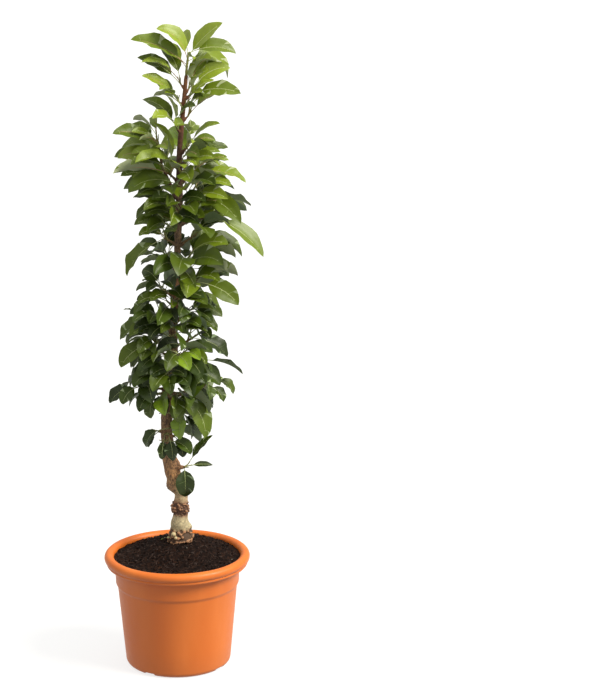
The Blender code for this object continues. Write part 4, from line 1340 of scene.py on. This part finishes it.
def finer_twigs(mass, room):
    """The thin twigs that find room to fork on from a mass's own twigs."""
    fine = []
    for twig in mass.twigs:
        ahead = (twig.tip - twig.foot).normalized()
        bearing = math.degrees(math.atan2(ahead.y, ahead.x))
        slope = math.degrees(math.asin(ahead.z))
        for place, side in FINE_FORKS:
            foot = twig.foot.lerp(twig.tip, place)
            turned = bearing + side + fine_dice.uniform(-18.0, 18.0)
            line = direction(turned, min(slope + fine_dice.uniform(-5.0, 25.0), 80.0))
            tip = foot + line * fine_dice.uniform(*FINE_REACH)
            forked = Twig(foot, tip, FINE_TWIG_RADIUS, FINE_TWIG_RADIUS * 0.8)
            shape = twig_shape(forked, TWIG_SIDES)
            if room.free(shape, (("twig", mass.name), ("petiole", mass.name))):
                room.add(shape, "twig", mass.name)
                fine.append(forked)
    return fine


def finer_leaf(mass, turn, wanted):
    """A smaller leaf of the mass's habit on one of its finer twigs."""
    shorter = mass.habit.length * fine_dice.uniform(*FINE_LENGTHS)
    smaller = mass._replace(habit=mass.habit._replace(length=shorter), random=fine_dice)
    twig = mass.twigs[-1 - turn % max(len(mass.twigs) - 1, 1)]
    root = twig.foot.lerp(twig.tip, fine_dice.uniform(0.35, 1.0))
    return leaf_by_dice(smaller, root, fine_dice.uniform(0.0, 50.0), (turn + 0.5) / wanted)


def finer_leaves(masses, room):
    """The extra leaves, dealt to the masses in turn as the rule deals its own."""
    for turn in range(int(max(count for _, count in FINE_LEAVES))):
        for mass in masses:
            wanted = between(FINE_LEAVES, mass.twigs[0].tip.z)[0]
            if turn >= round(wanted):
                continue
            for _ in range(FINE_TRIES):
                leaf = finer_leaf(mass, turn, wanted)
                reaches_out = any(outside_share(p) > FINE_OUTLINE for p in leaf_shape(leaf)[0])
                if reaches_out or leaf.length < FINE_SHORTEST:
                    continue
                if touches_nothing(leaf, room, mass.name, FINE_THINNER, 0.0):
                    keep_leaf(leaf, mass, room, FINE_THINNER)
                    break


source_masses = [mass.name for mass in masses]
short_spurs = finer_masses(room_in_crown, rule_trunk_tree)
grow_leaves(short_spurs, room_in_crown)
masses += short_spurs
for mass in masses:
    if mass.name != "foliage_tuft":
        mass.twigs.extend(finer_twigs(mass, room_in_crown))
finer_leaves(masses, room_in_crown)


# The bark.
# One living skin over the trunk, the boughs and the feet of the spurs. The limbs' plain skins are
# joined and remeshed as one, so that each limb grows out of the trunk through a flared collar, and
# the bark's knots, cracks and wrinkles are then moved into the surface.
BARK_GRID = 0.0010
BARK_STEP = 0.0030
BARK_SIDES = 40
LIMB_SIDES = 14
SUNK = 0.0030
COLLAR_SWELL = 1.9
BOUGH_COLLAR = 0.0100
SPUR_COLLAR = 0.0055

# The two full knots: lowest and highest place, size of a nodule, number of nodules.
KNOTS = (
    (0.2300, 0.2600, 0.0040, 120),
    (0.2880, 0.3140, 0.0033, 95),
)
KNOT_SEED = 12
KNOT_RAGGED = 0.0035
KNOT_EDGE = 0.0015
NODULE = 0.0042
NODULE_RISE = 0.0015
NODULE_FALL = 1.7
KNOT_GAP = 0.0016
HEAP_RISE = 0.0018
UPPER_KNOT = (0.70, 0.77)
SMOOTH_BELOW = 0.334
UNDULATION = 0.0160
UNDULATION_RISE = 0.0011
CRACK_WIDTH = 0.0034
CRACK_STRETCH = 0.30
CRACK_DEPTH = 0.0007
WRINKLE = 0.0022
WRINKLE_LENGTH = 0.0200
WRINKLE_RISE = 0.00022
SMOOTH_ABOVE = 1.03
CRACKED_BELOW = 0.80


def burr_share(point):
    """How much of a burr knot a place on the trunk is, from 0 on plain bark to 1 on the knot."""
    axis = trunk_axis(point.z)
    bearing = math.degrees(math.atan2(point.y - axis.y, point.x - axis.x))
    share = 0.0
    for place, side, half_height, _ in BURRS:
        turn = (bearing - side + 180.0) % 360.0 - 180.0
        away = ((point.z - place) / (half_height * 1.1)) ** 2 + (turn / (BURR_SPREAD * 1.25)) ** 2
        share = max(share, math.exp(-away * away))
    return share


def knot_band(point):
    """How far a place is within one of the two full knots that ring the trunk's foot."""
    ragged = point.z + KNOT_RAGGED * noise.noise(point / 0.006)
    share = 0.0
    for low, high, _, _ in KNOTS:
        share = max(share, min((ragged - low) / KNOT_EDGE, (high - ragged) / KNOT_EDGE, 1.0))
    return share


def knot_nodules():
    """The heaps of round nodules of the two full knots, half sunk into the trunk."""
    dice = random.Random(KNOT_SEED)
    points, faces = small_ball(2)
    heaps = []
    for low, high, size, count in KNOTS:
        for k in range(count):
            height = dice.uniform(low + 0.6 * size, high - 0.6 * size)
            bearing = 360.0 * GOLDEN_SHARE * k
            radius = size * dice.uniform(0.6, 1.15)
            outward = direction(bearing, 0.0)
            middle = trunk_axis(height) + outward * (trunk_radius(height, bearing) - 0.35 * radius)
            middle.z = height
            heaps.append(([middle + p * radius for p in points], faces))
    return heaps


def collar_of(limb, reach):
    """A flared sleeve that carries a limb from inside the trunk out along its own line."""
    axis = (limb.tip - limb.foot).normalized()
    stations = ((-1.0, COLLAR_SWELL), (-0.15, COLLAR_SWELL), (0.25, 1.45), (0.6, 1.15), (1.0, 1.0))
    path = [limb.foot + axis * reach * place for place, _ in stations]
    return tube(path, [limb.foot_radius * swell for _, swell in stations], LIMB_SIDES)


limb_skins = [trunk_skin(limb_heights(BARK_STEP, BARK_STEP), BARK_SIDES)]
bottom = trunk_axis(TRUNK_STATIONS[0][0])
sunk_foot = [bottom - Vector((0.0, 0.0, SUNK)), bottom + Vector((0.0, 0.0, 0.004))]
limb_skins.append(tube(sunk_foot, [trunk_radius(bottom.z, 0.0) * 1.05] * 2, BARK_SIDES))
for limb, _ in boughs.values():
    radii = [limb.foot_radius, limb.tip_radius]
    limb_skins.append(tube([limb.foot, limb.tip], radii, LIMB_SIDES))
    limb_skins.append(collar_of(limb, BOUGH_COLLAR))
for mass in masses:
    on_a_bough = mass.name.replace("foliage", "bough") in boughs
    if not on_a_bough and mass.name != "foliage_tuft":
        limb_skins.append(collar_of(mass.twigs[0], SPUR_COLLAR))
limb_skins += knot_nodules()
bark = joined_mesh("bark_of_trunk_and_boughs", [(p, f, 0) for p, f in limb_skins], [])
pick(bark)
bark.data.remesh_voxel_size = BARK_GRID
bark.data.remesh_voxel_adaptivity = 0.0
bpy.ops.object.voxel_remesh()
apply_modifier(bark, "SMOOTH", factor=0.5, iterations=2)


def nodule_share(point):
    """From 0 between the nodules of a burr to 1 on top of one, with smaller ones among them."""
    gap = noise.voronoi(point / NODULE)[0][0]
    nodule = max(0.0, 1.0 - NODULE_FALL * gap * gap)
    small_gap = noise.voronoi(point / (0.55 * NODULE) + Vector((7.0, 3.0, 1.0)))[0][0]
    return 0.75 * nodule + 0.25 * max(0.0, 1.0 - NODULE_FALL * small_gap * small_gap)


def heap_share(point):
    """From 0 on the trunk's plain skin to 1 on top of the nodules heaped on it."""
    axis = trunk_axis(point.z)
    level = Vector((point.x - axis.x, point.y - axis.y))
    bearing = math.degrees(math.atan2(level.y, level.x))
    stands_out = level.length - trunk_radius(point.z, bearing)
    return min(max((stands_out - 0.0001) / HEAP_RISE, 0.0), 1.0)


def bark_relief(point):
    """How far the bark stands out, how much burr, and how much crack and painted shade is there."""
    old = min(max((SMOOTH_ABOVE - point.z) / (SMOOTH_ABOVE - CRACKED_BELOW), 0.0), 1.0)
    by_a_knot = point.z < GNARLED_BELOW + 0.02 or UPPER_KNOT[0] < point.z < UPPER_KNOT[1]
    knot = burr_share(point) if by_a_knot else 0.0
    swell = noise.noise(point / UNDULATION) * UNDULATION_RISE * (0.35 + 0.65 * old)
    stretched = Vector((point.x, point.y, point.z * CRACK_STRETCH)) / CRACK_WIDTH
    ridge = 1.0 - abs(noise.noise(stretched)) * 2.6
    crack = max(0.0, ridge - 0.45) / 0.55 * old * (1.0 - knot)
    drawn_out = (point.x / WRINKLE_LENGTH, point.y / WRINKLE_LENGTH, point.z / WRINKLE)
    wrinkle = noise.noise(Vector(drawn_out))
    ring = max(knot_band(point), 0.0)
    heap = heap_share(point)
    nodule = ring * heap + (1.0 - ring) * nodule_share(point)
    knot = max(knot, ring)
    if point.z < SMOOTH_BELOW:
        crack = 0.0
        knot = ring
    shift = swell + (1.0 - ring) * knot * NODULE_RISE * (nodule - 0.45) - crack * CRACK_DEPTH
    shift = shift - ring * (1.0 - heap) * KNOT_GAP + wrinkle * WRINKLE_RISE
    # The third value is the crack, plus painted shade in the gaps between the nodules of the knots.
    return shift, knot * nodule, crack + knot * (1.0 - nodule)


# The crack attribute carries the dark of the cracks and painted shade between the knots' nodules.
burr_values, furrow_and_shade_values, moved = [], [], []
for vertex in bark.data.vertices:
    shift, burr, crack = bark_relief(vertex.co)
    moved.append(vertex.co + vertex.normal * shift)
    burr_values.append(burr)
    furrow_and_shade_values.append(crack)
for vertex, place in zip(bark.data.vertices, moved):
    vertex.co = place
for name, values in (("burr", burr_values), ("crack", furrow_and_shade_values)):
    bark.data.attributes.new(name, "FLOAT", "POINT").data.foreach_set("value", values)
bark.data.shade_smooth()

# Apple bark: dull, tan and cracked with dark furrows on the old wood, pale and smooth where the
# stem bulges between the burr knots, and red brown on the leader. The knots are heaps of nodules,
# with painted shade dark in the gaps between them.
BARK_TONES = (
    (0.236, "#7C5D42"),
    (0.258, "#8C7455"),
    (0.264, "#B5A985"),
    (0.284, "#BDAF8A"),
    (0.290, "#8A5F42"),
    (0.312, "#8A5F42"),
    (0.318, "#B99F7A"),
    (0.333, "#C9B48C"),
    (0.350, "#BC976A"),
    (0.372, "#B28455"),
    (0.420, "#AC8660"),
    (0.520, "#93724F"),
    (0.620, "#927452"),
    (0.735, "#9A6E48"),
    (0.800, "#8C7050"),
    (0.900, "#735946"),
    (0.980, "#5E4236"),
    (1.060, "#74462F"),
    (1.136, "#84563A"),
)
BARK_PATCH = 0.022
PATCH_SHIFT = 0.004
BARK_MOTTLE = 0.0048
apple_bark, bark_shader = new_finish("apple_bark", "#8A6A4A", 0.78)
bark_tree = apple_bark.node_tree
place_on_bark = add_node(bark_tree, "TexCoord", {})
bark_height = add_node(bark_tree, "SeparateXYZ", {}, {0: place_on_bark.outputs["Object"]})
patch_noise = add_node(
    bark_tree,
    "TexNoise",
    {"Scale": 1.0 / BARK_PATCH, "Detail": 5.0, "Roughness": 0.65},
    {"Vector": place_on_bark.outputs["Object"]},
)
patch_shift = add_node(
    bark_tree,
    "MapRange",
    {"From Min": 0.3, "From Max": 0.7, "To Min": -PATCH_SHIFT, "To Max": PATCH_SHIFT},
    {"Value": patch_noise.outputs["Fac"]},
)
shifted_height = add_node(
    bark_tree,
    "Math",
    {"operation": "ADD"},
    {0: bark_height.outputs["Z"], 1: patch_shift.outputs["Result"]},
)
low, high = BARK_TONES[0][0], BARK_TONES[-1][0]
height_share = add_node(
    bark_tree,
    "MapRange",
    {"From Min": low, "From Max": high},
    {"Value": shifted_height.outputs["Value"]},
)
bark_tones = add_node(
    bark_tree,
    "ValToRGB",
    {"stops": tuple(((h - low) / (high - low), tone) for h, tone in BARK_TONES)},
    {"Fac": height_share.outputs["Result"]},
)
mottle = add_node(
    bark_tree,
    "TexNoise",
    {"Scale": 1.0 / BARK_MOTTLE, "Detail": 6.0, "Roughness": 0.75},
    {"Vector": place_on_bark.outputs["Object"]},
)
mottle_tones = add_node(
    bark_tree,
    "ValToRGB",
    {"stops": ((0.34, "#6B6460"), (0.52, "#BDBBB8"), (0.70, "#F4EEE2"))},
    {"Fac": mottle.outputs["Fac"]},
)
mottled = add_node(
    bark_tree,
    "Mix",
    {"data_type": "RGBA", "blend_type": "OVERLAY", 0: 0.75},
    {6: bark_tones.outputs["Color"], 7: mottle_tones.outputs["Color"]},
)
burr_mark = add_node(bark_tree, "Attribute", {"attribute_name": "burr"})
furrow_and_shade_mark = add_node(bark_tree, "Attribute", {"attribute_name": "crack"})
knotted = add_node(
    bark_tree,
    "Mix",
    {"data_type": "RGBA", 7: linear("#AC7E5A")},
    {0: burr_mark.outputs["Fac"], 6: mottled.outputs[2]},
)
# Dark brown in the cracks, and painted shade in the gaps between the nodules of the knots.
furrow_and_shade_share = add_node(
    bark_tree,
    "MapRange",
    {"From Min": 0.15, "From Max": 0.9, "To Min": 0.0, "To Max": 0.78},
    {"Value": furrow_and_shade_mark.outputs["Fac"]},
)
furrowed_and_shaded = add_node(
    bark_tree,
    "Mix",
    {"data_type": "RGBA", 7: linear("#3A2418")},
    {0: furrow_and_shade_share.outputs["Result"], 6: knotted.outputs[2]},
)
bark_tree.links.new(furrowed_and_shaded.outputs[2], bark_shader.inputs["Base Color"])
fine_relief = add_node(
    bark_tree,
    "Bump",
    {"Strength": 0.45, "Distance": 0.0008},
    {"Height": mottle.outputs["Fac"]},
)
bark_tree.links.new(fine_relief.outputs["Normal"], bark_shader.inputs["Normal"])
bark.data.materials.append(apple_bark)
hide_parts("trunk", *boughs)
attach(bark, "root")


# Twigs.
# The short spurs and their forks, from which the leaves spring: olive brown wood with the ringed
# scars of old bud scales, and finer forks that carry the smaller leaves.
TWIG_SEED = 77
TWIG_RING_SIDES = 7
TWIG_STEPS = 9
TWIG_BOW = 0.05
SCARS = {2: 1.22, 5: 1.22, 8: 1.35, 9: 0.3}

# Buds at the trunk's foot: height, bearing, size. Their shape: place along it, radius, in sizes.
FOOT_BUDS = ((0.2520, 236.0, 0.0052), (0.2460, 250.0, 0.0036))
BUD_STATIONS = ((-0.5, 0.6), (0.0, 0.85), (0.5, 0.95), (1.0, 0.7), (1.35, 0.15))
twig_dice = random.Random(TWIG_SEED)


def twig_tube(twig):
    """A slightly crooked tube that swells at its ringed scars and ends in a pointed bud."""
    axis = twig.tip - twig.foot
    bow = axis.orthogonal().normalized() * axis.length * twig_dice.uniform(-TWIG_BOW, TWIG_BOW)
    path, radii = [], []
    for k in range(TWIG_STEPS + 1):
        share = k / TWIG_STEPS
        path.append(twig.foot + axis * share + bow * math.sin(math.pi * share))
        radius = twig.foot_radius + (twig.tip_radius - twig.foot_radius) * share
        radii.append(radius * SCARS.get(k, 1.0))
    return tube(path, radii, TWIG_RING_SIDES)


# Old spur wood is a dull olive brown, and young shoots are greener with a faint sheen.
old_twig_wood = new_finish("spur_wood", "#7A6238", 0.7)[0]
green_twig_wood = new_finish("green_shoot_wood", "#8C8A4A", 0.6)[0]
twig_parts = []
for mass in masses:
    young = mass.twigs[0].foot.z > LEADER_ABOVE
    for k, twig in enumerate(mass.twigs):
        twig_parts.append((*twig_tube(twig), 1 if young or k > 0 else 0))
# Two fat buds, in scales of a pale buff, break from the knots at the trunk's foot.
for height, bearing, size in FOOT_BUDS:
    line = direction(bearing, 20.0)
    path = [trunk_surface(height, bearing) + line * size * place for place, _ in BUD_STATIONS]
    twig_parts.append((*tube(path, [size * swell for _, swell in BUD_STATIONS], 10), 2))
bud_scales = new_finish("pale_bud_scales", "#C2B084", 0.6)[0]
twigs = joined_mesh("spur_twigs", twig_parts, [old_twig_wood, green_twig_wood, bud_scales])
twigs.data.shade_smooth()


# Leaves.
# Apple leaves: thin, folded along a sunken midrib, arched, wavy at the edge and quilted between
# slanting veins. The tones run from yellow green at the top to dark green low down, dealt out by
# spray as plain colours, and the underside is pale and dull.
LEAF_SEED = 5
ROWS = 10
COLUMNS = (-1.0, -0.5, 0.0, 0.5, 1.0)
MIDRIB = 2
EDGE_WAVES = 2.6
WAVES = (0.05, 0.16)
CHEVRON = 0.10
LAMINA_CROWN = 0.06
QUILT = 0.055
RIB_DEPTH = 0.0005
VEIN_WIDTH = 0.00045
VEIN_RISE = 0.00018
RIB_RADII = (0.0011, 0.00085, 0.0008, 0.0009, 0.0010)
UPPER_TONES = (
    "#8B9D24",
    "#7B8E1A",
    "#6B7E14",
    "#5A6C0F",
    "#4B5C0C",
    "#3E500B",
    "#33440A",
    "#2A3809",
)
UNDER_TONES = ("#B5BE8E", "#98A679", "#7F906A")
LIME = "#7F9C22"

# Where a height falls in the run of tones, from the pale top to the dark foot.
TONE_ROWS = (
    (0.35, 5.6),
    (0.52, 5.2),
    (0.62, 4.9),
    (0.72, 4.3),
    (0.82, 3.8),
    (0.92, 3.0),
    (1.02, 2.0),
    (1.14, 0.9),
)
SPRAY_SPREAD = 1.5
LEAF_SPREAD = 1.4
# Steps of tone by which the finer leaves deep in the crown are darkened: painted shade.
INNER_DARKER = 1.6
DARK_BELOW = 0.45
NEW_LEAF_SHARE = 0.035
PALE_STALK_SHARE = 0.7

# Places in the run of tones: leaves before the first are young and glossy, stalks and veins are
# dull from the second on, the lowest leaves start at the third, and undersides dull at the last.
YOUNG_TONES = 3
DARK_FROM = 4
DARKEST_FROM = 5
OLD_FROM = 6
leaf_dice = random.Random(LEAF_SEED)


def blade_place(leaf, frames, along, across, wave, phase):
    """A point of the blade's upper face, at a share of its length and from -1 to 1 across it."""
    place = along * BLADE_STEPS
    k = min(int(place), BLADE_STEPS - 1)
    near, far = frames[PETIOLE_STEPS + k], frames[PETIOLE_STEPS + k + 1]
    centre, _, side, upper = (a.lerp(b, place - k) for a, b in zip(near, far))
    half = half_width(leaf, along)
    fold = math.radians(leaf.fold)
    turn = 2.0 * math.pi * (EDGE_WAVES * along + phase + 0.37 * (across > 0))
    ripple = wave * half * across * across * math.sin(turn)
    up = abs(across) * half * math.sin(fold) + ripple
    return centre + side * across * half * math.cos(fold) + upper * up, upper


def row_start(row):
    """The number of the first point of a row across the blade, counted on from its base and tip."""
    return 2 + (row - 1) * len(COLUMNS)


def blade_points(leaf, frames, wave, phase):
    """The base, the tip, the rows of the upper face, and a row down the underside's midrib."""
    base, _ = blade_place(leaf, frames, 0.0, 0.0, 0.0, 0.0)
    tip, _ = blade_place(leaf, frames, 1.0, 0.0, 0.0, 0.0)
    points = [base, tip]
    for row in range(1, ROWS):
        stem_share = row / ROWS
        half = half_width(leaf, stem_share)
        for across in COLUMNS:
            along = stem_share + CHEVRON * abs(across) * math.sin(math.pi * stem_share)
            point, upper = blade_place(leaf, frames, along, across, wave, phase)
            if abs(across) == 0.5:
                point = point + upper * half * (LAMINA_CROWN + (QUILT if row % 2 else -QUILT))
            points.append(point)
    for row in range(1, ROWS):
        _, upper = blade_place(leaf, frames, row / ROWS, 0.0, 0.0, 0.0)
        points.append(points[row_start(row) + MIDRIB] - upper * RIB_DEPTH)
    return points


def blade_skin(leaf, frames, tone, under, wave, phase):
    """The closed blade: a quilted upper face of slanting rows and a plain underside."""
    faces, slots = [], []
    under_start = row_start(ROWS)
    for row in range(1, ROWS - 1):
        first, after = row_start(row), row_start(row + 1)
        rib = under_start + row - 1
        for k in range(4):
            faces.append((first + k, after + k, after + k + 1, first + k + 1))
        faces += [(first, rib, rib + 1, after), (rib, first + 4, after + 4, rib + 1)]
        slots += [tone] * 4 + [under] * 2
    start, end, last_rib = row_start(1), row_start(ROWS - 1), under_start + ROWS - 2
    for k in range(4):
        faces += [(0, start + k, start + k + 1), (end + k, 1, end + k + 1)]
        slots += [tone] * 2
    faces += [(0, under_start, start), (0, start + 4, under_start)]
    faces += [(end, last_rib, 1), (last_rib, end + 4, 1)]
    slots += [under] * 4
    return blade_points(leaf, frames, wave, phase), faces, slots


def rib_path(frames):
    """The petiole and midrib as one line from the twig to near the tip, lying along the blade."""
    path = [frames[k][0] for k in range(PETIOLE_STEPS + 1)]
    path += [frames[PETIOLE_STEPS + k][0] for k in range(2, BLADE_STEPS, 2)]
    radii = list(RIB_RADII)
    radii += [0.00088 - 0.00011 * k for k in range(len(path) - len(radii))]
    return path, radii


def side_veins(skin_points, slot):
    """Slim veins that slant from the midrib to near the edge, down the valleys of the blade."""
    veins = []
    for row in range(2, ROWS - 1, 2):
        first = row_start(row)
        rib = skin_points[first + MIDRIB]
        rib_before = skin_points[row_start(row - 1) + MIDRIB]
        for outer, inner in ((0, 1), (4, 3)):
            edge = rib.lerp(skin_points[first + outer], 0.92)
            along = (edge - rib).normalized()
            lift = (skin_points[first + inner] - rib).cross(rib - rib_before).normalized()
            beside = along.cross(lift).normalized() * VEIN_WIDTH
            crest = rib + lift * (VEIN_RISE if lift.z > 0 else -VEIN_RISE)
            corners = [rib + beside, rib - beside, crest, edge]
            veins.append((corners, [(0, 1, 3), (1, 2, 3), (2, 0, 3), (0, 2, 1)], slot))
    return veins


# The face of a leaf has a waxy gloss, brighter on young leaves, over a flat green. The underside
# is felted, so it looks pale and has no shine.
leaf_finishes = []
for k, tone in enumerate(UPPER_TONES):
    finish, shader = new_finish(f"leaf_face_{k}", tone, 0.42, 1.45)
    shader.inputs["Specular IOR Level"].default_value = 0.55 if k < YOUNG_TONES else 0.38
    leaf_finishes.append(finish)
for k, tone in enumerate(UNDER_TONES):
    leaf_finishes.append(new_finish(f"leaf_underside_{k}", tone, 0.65, 1.40)[0])
leaf_finishes.append(new_finish("new_leaf_face", LIME, 0.42, 1.45)[0])
new_leaf_tone = len(leaf_finishes) - 1
blade_parts, vein_parts, stalk_parts = [], [], []
for mass in masses:
    spray = between(TONE_ROWS, mass.twigs[0].tip.z)[0]
    spray += leaf_dice.uniform(-SPRAY_SPREAD, SPRAY_SPREAD)
    for place, leaf in enumerate(mass.leaves):
        # Leaves past the mass's count, the finer ones that fill in between the first, are dealt a
        # darker tone: painted shade for the hollows of the crown. Their stalks and veins follow it.
        painted_inner_shade = INNER_DARKER if place >= mass.count else 0.0
        tone = round(spray + painted_inner_shade + leaf_dice.uniform(-LEAF_SPREAD, LEAF_SPREAD))
        tone = min(max(tone, 0), len(UPPER_TONES) - 1)
        new_growth = leaf_dice.random() < NEW_LEAF_SHARE
        if leaf.root.z < DARK_BELOW:
            tone = max(tone, DARKEST_FROM)
        elif new_growth:
            tone = new_leaf_tone
        under = len(UPPER_TONES) + (0 if tone < YOUNG_TONES else 1 if tone < OLD_FROM else 2)
        frames = leaf_frames(leaf)
        wave, phase = leaf_dice.uniform(*WAVES), leaf_dice.random()
        skin = blade_skin(leaf, frames, tone, under, wave, phase)
        blade_parts.append(skin)
        pale = 0 if leaf_dice.random() < PALE_STALK_SHARE else 1
        stalk_parts.append((*tube(*rib_path(frames), 4), pale if tone < DARK_FROM else 2))
        vein_parts += side_veins(skin[0], 0 if tone < DARK_FROM else 1)
# One young leaf sprouts beside the knots at the trunk's foot.
sprout_root = trunk_surface(0.246, 218.0)
sprout = Leaf(sprout_root, 196.0, 4.0, -34.0, 24.0, 0.005, 0.016, 0.008, 16.0)
sprout_frames = leaf_frames(sprout)
sprout_tones = (new_leaf_tone, len(UPPER_TONES))
blade_parts.append(blade_skin(sprout, sprout_frames, *sprout_tones, 0.1, 0.3))
stalk_parts.append((*tube([f[0] for f in sprout_frames[:6]], [0.0009] * 6, 4), 0))
leaf_blades = joined_mesh("leaf_blades", blade_parts, leaf_finishes)
smoothed(leaf_blades, 62.0)
# Stalks and midribs are smooth and pale, flushed on some and duller low down. Side veins are a
# shade lighter than the face, so that they show on it as thin lines.
stalk_finishes = [
    new_finish("pale_green_stalk", "#CDD495", 0.55)[0],
    new_finish("pink_stalk", "#BF9A72", 0.55)[0],
    new_finish("dull_green_stalk", "#97A164", 0.55)[0],
]
leaf_stalks = joined_mesh("leaf_stalks_and_midribs", stalk_parts, stalk_finishes)
leaf_stalks.data.shade_smooth()
vein_finishes = [
    new_finish("pale_leaf_vein", "#94A857", 0.5)[0],
    new_finish("dark_leaf_vein", "#52652C", 0.5)[0],
]
leaf_veins = joined_mesh("leaf_side_veins", vein_parts, vein_finishes)
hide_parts(*source_masses)
for piece in (twigs, leaf_blades, leaf_stalks, leaf_veins):
    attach(piece, "root")
